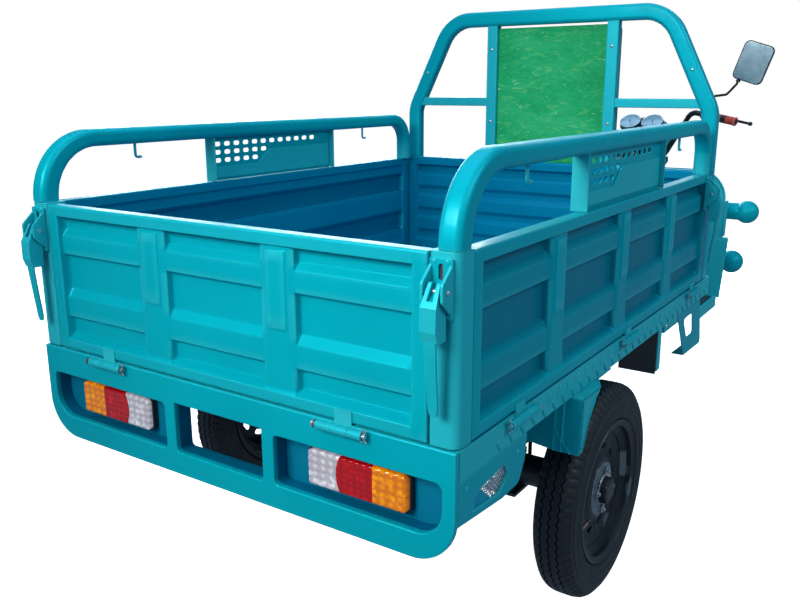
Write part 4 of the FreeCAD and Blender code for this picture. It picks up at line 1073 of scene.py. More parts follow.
lo_, li_ = rb_line(0), rb_line(48)
pairs = []
for i in range(len(lo_)):
    a, b = np.array(lo_[i]), np.array(li_[i])
    if i:
        pa, pb = np.array(lo_[i - 1]), np.array(li_[i - 1])
        k = int(np.linalg.norm(a - pa) // 40)
        for j in range(1, k + 1):
            q = j / (k + 1)
            pairs.append((pa + (a - pa) * q, pb + (b - pb) * q))
    # pressed wrinkles along the inside of each bend
    g = (i - 1) % 21
    if 1 <= i <= 84:
        w = 1.5 * math.sin(g * 2.4) * math.sin(math.pi * g / 20.0)
        e = (a - b) / np.linalg.norm(a - b)
        b = b + e * max(0.0, w)
    pairs.append((a, b))
rb = Shape()
bent_bar(rb, pairs, lambda a, b, c: (1550 + c, a, b), 20, 11.5, n=5)
piece("roll_bar_hoop", rb, "chassis", ("roll_bar",), (TEAL,), sharp=45)
rx = Shape()
for sg in (-1, 1):
    a, b = sorted((sg * 227, sg * 497))
    box(rx, 1536, 1562, a, b, 1132, 1160)
    a, b = sorted((sg * 190.5, sg * 228))
    box(rx, 1534, 1564, a, b, 800, 1395)
box(rx, 1534, 1564, -498, 498, 770, 800)
piece("roll_bar_frame", rx, "chassis", ("roll_bar",), (TEAL,), bevel=3.0, seg=3)
sc = Shape()
for y, z in ((-209, 1318), (209, 1318), (-209, 960), (209, 960), (-209, 1080), (209, 1080)):
    spin(sc, [(0, -2.2), (3.2, -2.0), (5.0, -0.6), (5.0, 1.5)], (1534, y, z), (1, 0, 0), 16)
for sg in (-1, 1):
    spin(sc, [(0, -2.0), (3.0, -1.8), (4.6, -0.5), (4.6, 1.5)], (1530, sg * 462, 1245), (1, 0, 0), 16)
piece("roll_bar_screws", sc, "chassis", ("roll_bar",), (STEEL,), sharp=40)


# film-wrapped board, slack and creased
def film_board():
    ny, nz = 96, 120
    s = Shape()
    F, B = [], []
    for j in range(nz + 1):
        for i in range(ny + 1):
            y, z = -189.5 + 379.0 * i / ny, 905.5 + 480.0 * j / nz
            e = min(i, ny - i, j, nz - j)
            k = min(1.0, e / 3.0)
            q = noise.fractal((y * 0.010 + 0.35 * noise.noise((y * 0.006, z * 0.008, 2)), z * 0.021 + y * 0.006, 1.7), 1.0, 2.1, 4)
            rdg = (1 - abs(noise.noise((y * 0.014 + z * 0.004, z * 0.034, 6.2)))) ** 5
            h = (0.55 * q + 0.8 * rdg) * k
            F.append((1546.2 - h * 0.9, y, z))
            B.append((1549.8 + 0.4 * q * k, y, z))
    o = len(F)
    f = []
    w = ny + 1
    for j in range(nz):
        for i in range(ny):
            a = j * w + i
            f.append((a, a + w, a + w + 1, a + 1))
            f.append((o + a, o + a + 1, o + a + w + 1, o + a + w))
    ring = [i for i in range(w)] + [j * w + ny for j in range(1, nz + 1)] + [nz * w + i for i in range(ny - 1, -1, -1)] + [j * w for j in range(nz - 1, 0, -1)]
    for a, b in zip(ring, ring[1:] + ring[:1]):
        f.append((a, b, o + b, o + a))
    return s.add(F + B, f)


piece("backrest_film_board", film_board(), "chassis", ("backrest_board",), (FILM,), wn=False)

# ---------------------------------------------------------------- rear lamp frame
outl = rounded([(-550, 619), (-550, 404), (550, 404), (550, 619)], [4, 88, 88, 4], 12)
win = [rounded([(-121, 455), (121, 455), (121, 563), (-121, 563)], [9, 9, 3, 3], 4)]
for sg in (-1, 1):
    win.append(rounded([(sg * 151, 455), (sg * 524, 455), (sg * 524, 557), (sg * 151, 557)], [11, 52, 15, 11], 8))
fr_ = plate([outl] + win, 14, 3.4, 3).map(lambda p: (-3 + p[2], p[0], p[1]), True)
piece("rear_frame_plate", fr_, "chassis", ("rear_lamp_frame",), (TEAL,), sharp=40)
pk = plate([rounded([(-129, 447), (129, 447), (129, 562), (-129, 562)], [13, 13, 3, 3], 4), rounded([(-121, 455), (121, 455), (121, 557), (-121, 557)], [9, 9, 3, 3], 4)], 32, 0.8).map(lambda p: (10 + p[2], p[0], p[1]), True)
for sg in (-1, 1):
    pk.join(plate([rounded([(sg * 144, 448), (sg * 531, 448), (sg * 531, 563), (sg * 144, 563)], [15, 58, 18, 14], 8), win[1 if sg < 0 else 2]], 29, 0.8).map(lambda p: (10 + p[2], p[0], p[1]), True))
# The pocket walls take the darker shaded copy of the paint: painted shade.
piece("lamp_pocket_walls", pk, "chassis", ("rear_lamp_frame",), (TEAL_PAN_SHADED,), sharp=40)
bm_ = Shape()
prism(bm_, rounded([(10, 564), (57.5, 564), (57.5, 619), (10, 619)], [0, 3, 4, 0], 3), "y", -546.4, 546.4)
piece("rear_beam_box", bm_, "chassis", ("cargo_floor",), (TEAL,), bevel=0.8)
bk = Shape()
for sg in (-1, 1):
    a = rounded([(sg * 140, 448), (sg * 530, 448), (sg * 530, 562), (sg * 140, 562)], [4, 60, 4, 4], 6)
    prism(bk, a, "x", 36, 39)
# The back panels take the darker shaded copy of the paint: painted shade.
piece("lamp_back_panels", bk, "chassis", ("rear_lamp_frame",), (TEAL_PAN_SHADED,), bevel=0.5)


def bean(g=0.0):
    p = rounded([(60, 486), (62, 512), (84, 522), (180, 533), (197, 508), (160, 479)], [5, 9, 14, 10, 16, 16], 7)
    m_ = (128.0, 506.0)
    return [(m_[0] + (q[0] - m_[0]) * (1 - g / 60.0), m_[1] + (q[1] - m_[1]) * (1 - g / 24.0)) for q in p]


sdp = plate([rounded([(6, 560), (270, 560), (263, 508), (240, 469), (172, 465), (6, 481)], [0, 3, 24, 20, 30, 0], 6), bean()], 3, 0.9).map(lambda p: (p[0], -550 + p[2], p[1]))
# the opening's edge is turned in, and a plain return closes its low end
sdp.join(plate([bean(), bean(1.8)], 5, 0.0).map(lambda p: (p[0], -549.4 + p[2], p[1])))
# The return takes the darker shaded copy of the paint: painted shade.
prism(sdp, [(55, 480), (63, 515), (86, 521), (112, 500), (140, 476)], "y", -545.4, -544.6, 1)
for x, z in ((231, 536), (36, 542)):
    spin(sdp, [(0, -1.0), (3.0, -0.8), (4.0, 0.4)], (x, -550.2, z), (0, 1, 0), 14)
piece("lamp_frame_cheeks", sdp.both(), "chassis", ("rear_lamp_frame",), (TEAL, TEAL_SHADED), sharp=40)

# woven wire behind the cheek openings
ms = Shape()
for i in range(25):
    x = 55.5 + i * 6.1
    tube(ms, [(x, -542.5 + 0.8 * (1 if (i + j) % 2 else -1), 472 + j * 5.6) for j in range(13)], 1.0, 6)
for j in range(11):
    z = 474.5 + j * 6.3
    tube(ms, [(54 + i * 6.0, -542.5 + 0.8 * (-1 if (i + j) % 2 else 1), z) for i in range(26)], 1.0, 6)
for a, b, c, e in ((54, 204, 472, 475), (54, 204, 537, 540), (54, 57, 472, 540), (201, 204, 472, 540)):
    box(ms, a, b, -544, -541, c, e)
piece("wire_mesh_inserts", ms.both(), "chassis", ("mesh_inserts",), (STEEL,), sharp=50)

# ---------------------------------------------------------------- tail lamps
lb = Shape()
for sg in (-1, 1):
    prism(lb, rounded([(sg * 219, 468), (sg * 448, 468), (sg * 448, 547), (sg * 219, 547)], 13, 6), "x", 22.5, 36)
piece("tail_lamp_housings", lb, "chassis", ("tail_lamp_bases",), (PLASTIC,), bevel=1.2)


def lens(a, b, kind):
    """One lamp window: rows of pillow optics on a domed front, 73 mm high."""
    z0, z1 = 471.0, 544.0
    nu, nv, sub_ = (5, 6, 7) if kind == "red" else (4, 5, 8)
    gu = [a + (b - a) * i / (nu * sub_) for i in range(nu * sub_ + 1)]
    gv = [z0 + (z1 - z0) * j / (nv * sub_) for j in range(nv * sub_ + 1)]
    s = Shape()
    F, B = [], []
    for j, z in enumerate(gv):
        for i, y in enumerate(gu):
            fu, fv = (i / sub_) % 1.0, (j / sub_) % 1.0
            bump_ = (1 - (2 * fu - 1) ** 2) * (1 - (2 * fv - 1) ** 2)
            if kind == "red":
                bump_ = 0.35 + 0.45 * bump_
            e = min(z - z0, z1 - z)
            ey = 99.0
            if kind == "amber":
                ey = b - y if b > 0 and abs(b) > abs(a) else y - a if abs(a) > abs(b) else b - y
            if kind == "clear":
                ey = y - a if abs(a) < abs(b) else b - y
            yy, zz = y, z
            R_ = 13.0
            if ey < R_ and e < R_:
                q = math.hypot(R_ - ey, R_ - e)
                if q > R_:
                    k = R_ / q
                    sy = 1 if (ey == b - y) else -1
                    zz = (z0 + R_ - (R_ - e) * k) if z - z0 < z1 - z else (z1 - R_ + (R_ - e) * k)
                    yy = (b - R_ + (R_ - ey) * k) if sy > 0 else (a + R_ - (R_ - ey) * k)
            sd_ = 1 if a > 0 else -1
            lo_, hi_ = min(abs(a), abs(b)), max(abs(a), abs(b))
            t_ = min(1.0, max(0.0, (abs(yy) - lo_) / (hi_ - lo_)))
            arc_ = 9.0 * (1 - ((zz - 507.5) / 36.5) ** 2) - 1.5
            yy -= sd_ * arc_ * (t_ if kind == "clear" else 1 - t_ if kind == "red" else 0.0)
            m_ = min(e, ey if ey < 90 else 99)
            dome = 3.2 * max(0.0, 1 - m_ / 5.0) ** 2
            F.append((13.8 - 2.0 * bump_ + dome, yy, zz))
            B.append((24.0, yy, zz))
    w = len(gu)
    o_ = len(F)
    f = []
    for j in range(len(gv) - 1):
        for i in range(w - 1):
            q = j * w + i
            f.append((q, q + w, q + w + 1, q + 1))
            f.append((o_ + q, o_ + q + 1, o_ + q + w + 1, o_ + q + w))
    nz = len(gv) - 1
    ring = list(range(w)) + [j * w + w - 1 for j in range(1, nz + 1)] + [nz * w + i for i in range(w - 2, -1, -1)] + [j * w for j in range(nz - 1, 0, -1)]
    for p_, q_ in zip(ring, ring[1:] + ring[:1]):
        f.append((p_, q_, o_ + q_, o_ + p_))
    return s.add(F + B, f)


for kind, mt, (a, b) in (("clear", L_CLR, (222, 296)), ("red", L_RED, (296.4, 370)), ("amber", L_AMB, (370.4, 445))):
    s = Shape().join(lens(a, b, kind)).join(lens(-b, -a, kind))
    piece("tail_lens_%s" % kind, s, "chassis", ("tail_lamp_lenses",), (mt,), sharp=50, wn=False)

# ---------------------------------------------------------------- mudguards and brackets
mg = Shape()


def guard():
    s = Shape()
    ny, nz = 116, 60
    F, B = [], []
    for j in range(nz + 1):
        z = 437 + (558.5 - 437) * j / nz
        for i in range(ny + 1):
            y = -575 + 145.0 * i / ny
            x = 478 + (z - 437) * 10 / 123.0
            fold = 2.6 * max(0.0, 1 - abs(y + 515) / 3.2) + 2.6 * max(0.0, 1 - abs(y + 534) / 3.2) + (0.9 if -534 < y < -515 else 0.0)
            dg_ = ((y + 523) * (437 - 477) - (z - 477) * (-554 + 523)) / math.hypot(31, 40)
            if y < -518 and z < 484:
                fold += 3.0 * max(0.0, 1 - abs(dg_) / 3.4)
            if y > -515:
                x += 0.22 * (y + 515)
            F.append((x - fold, y, z))
            B.append((x + 3 - fold, y, z))
    w = ny + 1
    o_ = len(F)
    f = []
    for j in range(nz):
        for i in range(ny):
            q = j * w + i
            f.append((q, q + w, q + w + 1, q + 1))
            f.append((o_ + q, o_ + q + 1, o_ + q + w + 1, o_ + q + w))
    ring = list(range(w)) + [j * w + ny for j in range(1, nz + 1)] + [nz * w + i for i in range(ny - 1, -1, -1)] + [j * w for j in range(nz - 1, 0, -1)]
    for p_, q_ in zip(ring, ring[1:] + ring[:1]):
        f.append((p_, q_, o_ + q_, o_ + p_))
    s.add(F + B, f)
    return s


g2 = Shape()
prism(g2, rounded([(488, -575), (590, -575), (640, -551), (720, -551), (720, -430), (488, -430)], [1, 24, 24, 0, 0, 0], 6), "z", 557, 560)
tube(g2, rounded([(494, -575.4, 554), (486.5, -575.4, 447), (497.5, -575.4, 447), (523, -575.4, 500), (562, -575.4, 545), (578, -575.4, 554)], [0, 5, 5, 30, 30, 0], 6, closed=False), 1.7, 8)
prism(g2, rounded([(488, 559.5), (478.6, 438), (500, 440), (528, 496), (566, 540), (592, 559.5)], [0, 2, 6, 34, 40, 0], 6), "y", -575, -572)
spin(g2, [(0, -0.6), (3.4, -0.6), (3.4, 0.4)], (477.6 + 16 * 10 / 123.0, -544, 453), (1, 0.0, -0.08), 16, mat=1)
# A black sheet across the front of the wheel well stands in for the shade there: painted shade.
prism(g2, [(1100, 432), (1104, 432), (1104, 560), (1100, 560)], "y", -543, -440, 1)
prism(g2, rounded([(1102, 440), (1130, 440), (1130, 560), (1102, 560)], [0, 8, 0, 0], 4), "y", -546, -543)
piece("mudguard_rear_sheets", guard().both(), "chassis", ("rear_mudguards",), (TEAL,), sharp=50)
piece("mudguard_tops_and_shade_sheets", g2.both(), "chassis", ("rear_mudguards",), (TEAL, BLACK), bevel=0.7)
sb = plate([rounded([(1264, 560), (1501, 560), (1546, 411), (1357, 418)], [2, 2, 12, 12], 5), rounded([(1330, 535), (1420, 535), (1440, 470), (1375, 470)], 8, 5)], 3, 0.9).map(lambda p: (p[0], -550 + p[2], p[1]))
prism(sb, [(1357, 418), (1546, 411), (1545.2, 414), (1358.6, 421)], "y", -548, -515)
piece("side_bracket_plates", sb.both(), "chassis", ("side_brackets",), (TEAL,), sharp=40)


# ---------------------------------------------------------------- wheels
def tri(x):
    x = x % 1.0
    return 4 * abs(x - 0.5) - 1


def tyre(R_, c, wy, k, waves=74):
    e = R_ - 259.0
    seg = waves * 8
    crown = lambda y: float(np.interp(abs(y), [0, 20, 30, 36, 44.5], [259 + e, 258.6 + e, 256 + e, 252.3 + e, 240 + e]))
    cols = []          # (y, depth below crown, zigzag, fixed radius, notch)
    half = [(162.5, 24.0), (162.5, 36.5), (170, 38.2), (175, 39.5), (178.4, 43.5), (180.5, 46), (184, 46.6), (185.2, 47.6), (189, 47.6), (190.2, 46.9), (203, 47.6 + 0.1), (204, 48.6), (206, 48.6), (207, 47.9),
            (215 + e * .5, 48.0), (222 + e * .7, 47.4), (223 + e * .7, 48.3), (227 + e * .7, 47.9), (228 + e * .7, 46.6), (236 + e, 45.4), (240 + e, 44.5)]
    left = [(-y, None, 0, r_, 0) for r_, y in half]
    right = [(y, None, 0, r_, 0) for r_, y in half][::-1]
    mid = []
    for y in (-42.5, -39.5, -36, -32.5):
        mid.append((y, 0, 0, None, 1))
    mid.append((-29.6, 0, 0, None, 0))
    for yc in (-19.5, 0.0, 19.5):
        for o_, dp in ((-2.1, 0), (-1.4, 5.0), (1.4, 5.0), (2.1, 0)):
            mid.append((yc + o_, dp, 2.6, None, 0))
        if yc < 19:
            mid.append((yc + 9.75, 0, 2.6, None, 0))
    mid.append((29.6, 0, 0, None, 0))
    for y in (32.5, 36, 39.5, 42.5):
        mid.append((y, 0, 0, None, 1))
    inner = [(17, None, 0, 162.5, 0), (10, None, 0, 200, 0), (0, None, 0, 225 + e, 0), (-10, None, 0, 200, 0), (-17, None, 0, 162.5, 0)]
    inner = [(36, None, 0, 190, 0), (38, None, 0, 215 + e * .5, 0), (33, None, 0, 235 + e, 0), (17, None, 0, 246 + e, 0), (-17, None, 0, 246 + e, 0), (-33, None, 0, 235 + e, 0), (-38, None, 0, 215 + e * .5, 0), (-36, None, 0, 190, 0)]
    cols = left + mid + right + inner
    v = []
    for j in range(seg):
        th = 2 * math.pi * j / seg
        z = tri(j / 8.0)
        slot_ = (j % 8) in (0, 1, 2)
        slot2 = (j % 8) in (4, 5, 6)
        for y, dp, zz, r_, nt_ in cols:
            yy = y + zz * z
            if r_ is None:
                rr_ = crown(yy) - dp
                if nt_:
                    if (slot_ if y < 0 else slot2):
                        rr_ -= 2.6
            else:
                rr_ = r_
            v.append((c[0] + rr_ * math.cos(th), wy + yy * k, c[1] + rr_ * math.sin(th)))
    n = len(cols)
    f = []
    for j in range(seg):
        l = (j + 1) % seg
        for i in range(n):
            m = (i + 1) % n
            f.append((j * n + i, j * n + m, l * n + m, l * n + i))
    s = Shape()
    s.add(v, f)
    return s


def rim(c, wy, k, sg):
    """Pressed steel rim: rolled flanges, dropped centre and a dished disc with vents. sg is the outward side."""
    s = Shape()
    o_ = [(173, -44), (173, -41.5), (161, -38.5), (158.5, -28), (141, -17), (141, 17), (158.5, 28), (161, 38.5), (173, 41.5), (173, 44),
          (170, 44), (170, 43.5), (158, 41), (155.5, 30), (138, 19.5), (138, -19.5), (155.5, -30), (158, -41), (170, -43.5), (170, -44)]
    spin(s, [(r_, y * k) for r_, y in o_], (c[0], wy, c[1]), (0, 1, 0), 120, closed=True)
    d_ = [(30, 18), (66, 18), (74, 16), (84, 10.4), (92, 8), (103, 7.4), (114, 8), (128, 11.4), (139.5, 13), (139.5, 17), (127, 15.6), (113, 12), (103, 11.4), (93, 12), (86, 14.2), (76, 19.6), (67, 22), (30, 22)]
    disc = Shape()
    spin(disc, [(r_, sg * y) for r_, y in d_], (c[0], wy, c[1]), (0, 1, 0), 120, closed=True)
    holes = Shape()
    for i in range(10):
        a0 = 36 * i
        pts = []
        for q in range(-4, 5):
            a = rad(a0 + 5.5 * q / 4)
            pts.append((c[0] + 111 * math.cos(a), c[1] + 111 * math.sin(a)))
        for q in range(1, 6):
            b = math.pi * q / 6
            ce = (c[0] + 103 * math.cos(rad(a0 + 5.5)), c[1] + 103 * math.sin(rad(a0 + 5.5)))
            a = rad(a0 + 5.5) + b
            pts.append((ce[0] + 8 * math.cos(a), ce[1] + 8 * math.sin(a)))
        for q in range(4, -5, -1):
            a = rad(a0 + 5.5 * q / 4)
            pts.append((c[0] + 95 * math.cos(a), c[1] + 95 * math.sin(a)))
        for q in range(1, 6):
            b = math.pi * q / 6
            ce = (c[0] + 103 * math.cos(rad(a0 - 5.5)), c[1] + 103 * math.sin(rad(a0 - 5.5)))
            a = rad(a0 - 5.5) + math.pi + b
            pts.append((ce[0] + 8 * math.cos(a), ce[1] + 8 * math.sin(a)))
        prism(holes, pts, "y", wy - 40, wy + 40)
    for i in range(4):
        a = rad(90 * i + 80)
        prism(holes, circle((c[0] + 48 * math.cos(a), c[1] + 48 * math.sin(a)), 6.2, 16), "y", wy - 40, wy + 40)
    disc = cut(disc, holes)
    return s.join(disc)


def valve(c, wy, sg, ang):
    s = Shape()
    a = rad(ang)
    q = lambda r_, y: (c[0] + r_ * math.cos(a), wy + sg * y, c[1] + r_ * math.sin(a))
    tube(s, rounded([q(141, 21.5), q(132, 25), q(106, 30)], [0, 8, 0], 4, False), 2.5, 12, mat=1)
    t = Shape()
    tube(t, [q(107, 29.8), q(98, 31.4), q(96.6, 31.6)], [3.9, 3.9, 2.6], 12)
    return s.join(t, 0)


def rear_hub(sg):
    s = Shape()
    o_ = (704, 0, 259)
    pr = lambda p: [(r_, sg * y) for r_, y in p]
    spin(s, pr([(0, 386), (14, 386), (15, 387), (15, 481), (40, 481), (42, 483), (42, 535), (44, 537), (64, 537), (66, 539), (66, 545), (64, 546), (33, 546), (31, 551), (29.4, 556), (29, 567), (27, 571.6), (22, 573.6), (9, 573.9), (7, 571), (0, 571)]), o_, (0, 1, 0), 64)
    spin(s, pr([(82, 441), (86.5, 441), (88, 442.5), (88, 448), (86.6, 449.5), (86.6, 452), (88, 453.5), (88, 480), (84, 483), (40, 483), (40, 476), (82, 476)]), o_, (0, 1, 0), 64, closed=True)
    fc = Shape()
    spin(fc, pr([(33, 549), (64.5, 549), (65.5, 550), (65.5, 551), (64, 552.2), (58, 552.6), (42, 554.6), (36, 556), (33, 556)]), o_, (0, 1, 0), 96, closed=True)
    cap = Shape()
    rr0 = [rrect(704 - h, 704 + h, 259 - h, 259 + h, 10, 6) for h in (26, 26, 24.5, 21)]
    rings_ = [[(q[0], sg * yy, q[1]) for q in lp_] for lp_, yy in zip(rr0, (550, 569, 572, 574))]
    skin(cap, rings_)
    ca, sa = math.cos(rad(12)), math.sin(rad(12))
    cap = cap.map(lambda q: (704 + (q[0] - 704) * ca - (q[2] - 259) * sa, q[1], 259 + (q[0] - 704) * sa + (q[2] - 259) * ca))
    # A bright steel arc part-way round the cap stands in for a crescent of light on the hub: painted highlight.
    highlight_arc = Shape()
    arc = [(704 + 37.5 * math.cos(rad(a_)), sg * 557.0, 259 + 37.5 * math.sin(rad(a_))) for a_ in range(28, 165, 4)]
    ribbon(highlight_arc, arc, oval_section(5.2, 2.4, 2.0, 3), up=(0, sg, 0))
    nt_ = Shape()
    for i in range(4):
        a = rad(90 * i + 80)
        cx, cz = 704 + 48 * math.cos(a), 259 + 48 * math.sin(a)
        spin(nt_, pr([(0, 540), (5, 540), (5, 564.6), (4, 566), (0, 566)]), (cx, 0, cz), (0, 1, 0), 16)
        spin(nt_, pr([(5.0, 550), (11.6, 550), (11.6, 551.8), (5.0, 551.8)]), (cx, 0, cz), (0, 1, 0), 24, closed=True)
        hx = [(cx + 10 * math.cos(a + rad(60 * j)), cz + 10 * math.sin(a + rad(60 * j))) for j in range(6)]
        prism(nt_, hx, "y", *sorted((sg * 551.6, sg * 560.8)))
    return s, nt_, fc, cap, highlight_arc


for sg, nm in ((-1, "right"), (1, "left")):
    body = "rear_wheel_" + nm
    piece("rear_tyre_%s_tread" % nm, tyre(259.0, (704, 259), sg * 528, 1.0), body, ("rear_tyre_" + nm,), (RUBBER,), sharp=38, wn=False)
    piece("rear_rim_%s_pressing" % nm, rim((704, 259), sg * 528, 1.0, sg), body, ("rear_rim_" + nm,), (RIM,), bevel=0.7, angle=28)
    piece("rear_valve_%s" % nm, valve((704, 259), sg * 528, sg, 203), body, ("rear_rim_" + nm,), (PLASTIC, ORANGE), sharp=45)
    hb, hn, hf, hc_, hub_highlight_arc = rear_hub(sg)
    piece("rear_hub_%s_cast" % nm, hb, body, ("rear_hub_" + nm,), (RIM,), bevel=0.6)
    piece("rear_hub_%s_nuts" % nm, hn, body, ("rear_hub_" + nm,), (STEEL,), bevel=0.6)
    piece("rear_hub_%s_face" % nm, hf, body, ("rear_hub_" + nm,), (HUBFACE,), bevel=0.4)
    piece("rear_hub_%s_cap" % nm, hc_, body, ("rear_hub_" + nm,), (PLASTIC,), bevel=0.8)
    # Bright arc on the hub: painted highlight.
    piece("rear_hub_%s_band" % nm, hub_highlight_arc, body, ("rear_hub_" + nm,), (STEEL,), sharp=45)

piece("front_tyre_tread", tyre(250.0, (2780, 250), 0, 0.875), "front_wheel", ("front_tyre",), (RUBBER,), sharp=38, wn=False)
piece("front_rim_pressing", rim((2780, 250), 0, 0.875, 1), "front_wheel", ("front_rim",), (RIM,), bevel=0.7, angle=28)
piece("front_valve", valve((2780, 250), 0, 1, 203), "front_wheel", ("front_rim",), (PLASTIC, ORANGE), sharp=45)
keep("front_hub", ALLOY, 1.0)

# ---------------------------------------------------------------- instruments
gn = Vector((-math.sin(rad(36)), 0, math.cos(rad(36))))
ge = Vector((0, 1, 0)).cross(gn)
gc = Vector((2512.17, 0, 1052.82))
hou, face, ringg, mark = Shape(), Shape(), Shape(), Shape()
for sg in (-1, 1):
    c_ = gc + Vector((0, sg * 48, 0))
    spin(hou, [(0, -30), (34, -30), (41, -26), (45, -18), (45, 1.0), (44.4, 1.6), (40.5, 1.6), (40.5, -1), (0, -1)], c_, gn, 64)
    spin(face, [(0, -0.6), (40.6, -0.6), (40.6, 1.0), (34, 1.9), (18, 2.6), (0, 2.9)], c_, gn, 64)
    spin(ringg, [(40.4, 0.4), (44.6, 0.4), (45, 1.4), (44.6, 3.2), (43.2, 4.0), (41.4, 3.4), (40.4, 1.8)], c_, gn, 64, closed=True)
    for k in range(21):
        a = rad(-30 + 12 * k)
        u_ = ge * math.cos(a) + Vector((0, 1, 0)) * math.sin(a)
        L_ = 7.0 if k % 5 == 0 else 4.0
        w_ = u_.cross(gn) * (0.7 if k % 5 == 0 else 0.4)
        a0, a1 = c_ + u_ * (37.5 - L_) + gn * 1.9, c_ + u_ * 37.5 + gn * 1.3
        q8 = [a0 - w_, a1 - w_, a1 + w_, a0 + w_]
        mark.add([tuple(q) for q in q8] + [tuple(q + gn * 0.6) for q in q8], [(3, 2, 1, 0), (4, 5, 6, 7), (0, 1, 5, 4), (1, 2, 6, 5), (2, 3, 7, 6), (3, 0, 4, 7)])
    u_ = (ge * math.cos(rad(200)) + Vector((0, 1, 0)) * math.sin(rad(200)))
    tube(mark, [tuple(c_ - u_ * 8 + gn * 3.0), tuple(c_ + u_ * 30 + gn * 2.4)], [1.6, 0.6], 8)
    spin(mark, [(0, 1.5), (3.0, 1.5), (3.0, 3.4), (2.2, 3.9), (0, 3.9)], c_, gn, 20)
bx = Shape()
box(bx, -30, 30, -46, 46, 0, 22)
hou.join(bx.map(lambda q: tuple(gc - gn * 28 + ge * q[0] + Vector((0, 1, 0)) * q[1] + gn * q[2])))
UUv, FFv, O_ = Vector((-math.sin(rad(20)), 0, math.cos(rad(20)))), Vector((math.cos(rad(20)), 0, math.sin(rad(20)))), Vector((2752.66, 0, 240.05))
bx = Shape()
box(bx, 34, 40, -34, 34, 690, 842)
hou.join(bx.map(lambda q: tuple(O_ + FFv * q[0] + Vector((0, 1, 0)) * q[1] + UUv * q[2])))
piece("gauge_housings", hou, "steering", ("instrument_cluster",), (PLASTIC,), bevel=1.2)
piece("gauge_faces", face, "steering", ("instrument_cluster",), (DIAL,), sharp=40)
piece("gauge_rims", ringg, "steering", ("instrument_cluster",), (RIMGLOW,), sharp=50)
piece("gauge_marks", mark, "steering", ("instrument_cluster",), (CASE,), sharp=40)


# ---------------------------------------------------------------- mirrors
def mirror_head():
    mu, mw_ = Vector((0, -math.sin(rad(18)), math.cos(rad(18)))), Vector((0, math.cos(rad(18)), math.sin(rad(18))))
    mc = Vector((2452, -443, 1285))
    at = lambda a, b, x: tuple(mc + mw_ * a + mu * b + Vector((x, 0, 0)))
    hs = Shape()
    rings_ = []
    for g_, x in ((3.4, -8.6), (2.2, -10.0), (0.8, -9.6), (0.0, -7.6), (0.0, 1.5), (1.6, 5.5), (6.5, 8.6), (18, 9.7), (34, 10.0)):
        rings_.append([at(q[0], q[1], x) for q in rrect(-58 + g_, 58 - g_, -75 + g_, 75 - g_, max(4.0, 22 - g_ * 0.6), 7)])
    skin(hs, rings_)
    mb_ = mc - mu * 75 + mw_ * 28
    spin(hs, [(5.06, -9), (8.2, -9), (9, -8), (9, 15), (5.06, 15)], mb_, mu, 28, closed=True)
    gl = Shape()
    n_, lp_ = 9, [rrect(-58 + g_, 58 - g_, -75 + g_, 75 - g_, max(3.0, 22 - g_ * 0.6), 7) for g_ in (3.6, 5.0, 20, 36, 52)]
    skin(gl, [[at(q[0], q[1], x) for q in l_] for l_, x in zip([lp_[0]] + lp_, (-8.4, -9.4, -9.7, -9.95, -10.0, -10.0))])
    return hs, gl


mh, mgl = mirror_head()
for nm, fn in (("right", lambda q: q), ("left", lambda q: q.mirror())):
    piece("mirror_%s_housing" % nm, fn(mh), "mirror_head_" + nm, ("mirror_" + nm,), (PLASTIC,), sharp=40)
    piece("mirror_%s_glass" % nm, fn(mgl), "mirror_head_" + nm, ("mirror_" + nm,), (MIRROR,), sharp=50)

# ---------------------------------------------------------------- grips
GP4, GD = Vector((2438, -402, 1061)), Vector((-0.28753, -0.94192, -0.17351))
pr_ = [(11.05, 1.0), (15.5, 1.0), (17.6, 2.2), (18.0, 4.0), (17.4, 6.4), (16.0, 7.6)]
x = 9.0
while x < 104:
    pr_ += [(16.0, x), (16.0, x + 2.6), (14.9, x + 3.3), (14.9, x + 4.6), (16.0, x + 5.3)]
    x += 5.9
pr_ += [(16.0, 106), (19.4, 108), (20, 109), (20, 115), (19.2, 116), (11.05, 116)]
gp = Shape()
spin(gp, pr_, GP4, -GD, 40, closed=True)
mats_ = []
for q in gp.f:
    cc = sum((Vector(gp.v[i]) for i in q), Vector()) / len(q)
    mats_.append(1 if 40 < (GP4 - cc).dot(GD) < 62 else 0)
gp.m = mats_
piece("throttle_grip_rubber", gp, "throttle", ("throttle_grip",), (GRIP, PLASTIC), sharp=38)
piece("left_grip_rubber", gp.mirror(), "steering", ("left_grip",), (GRIP, PLASTIC), sharp=38)


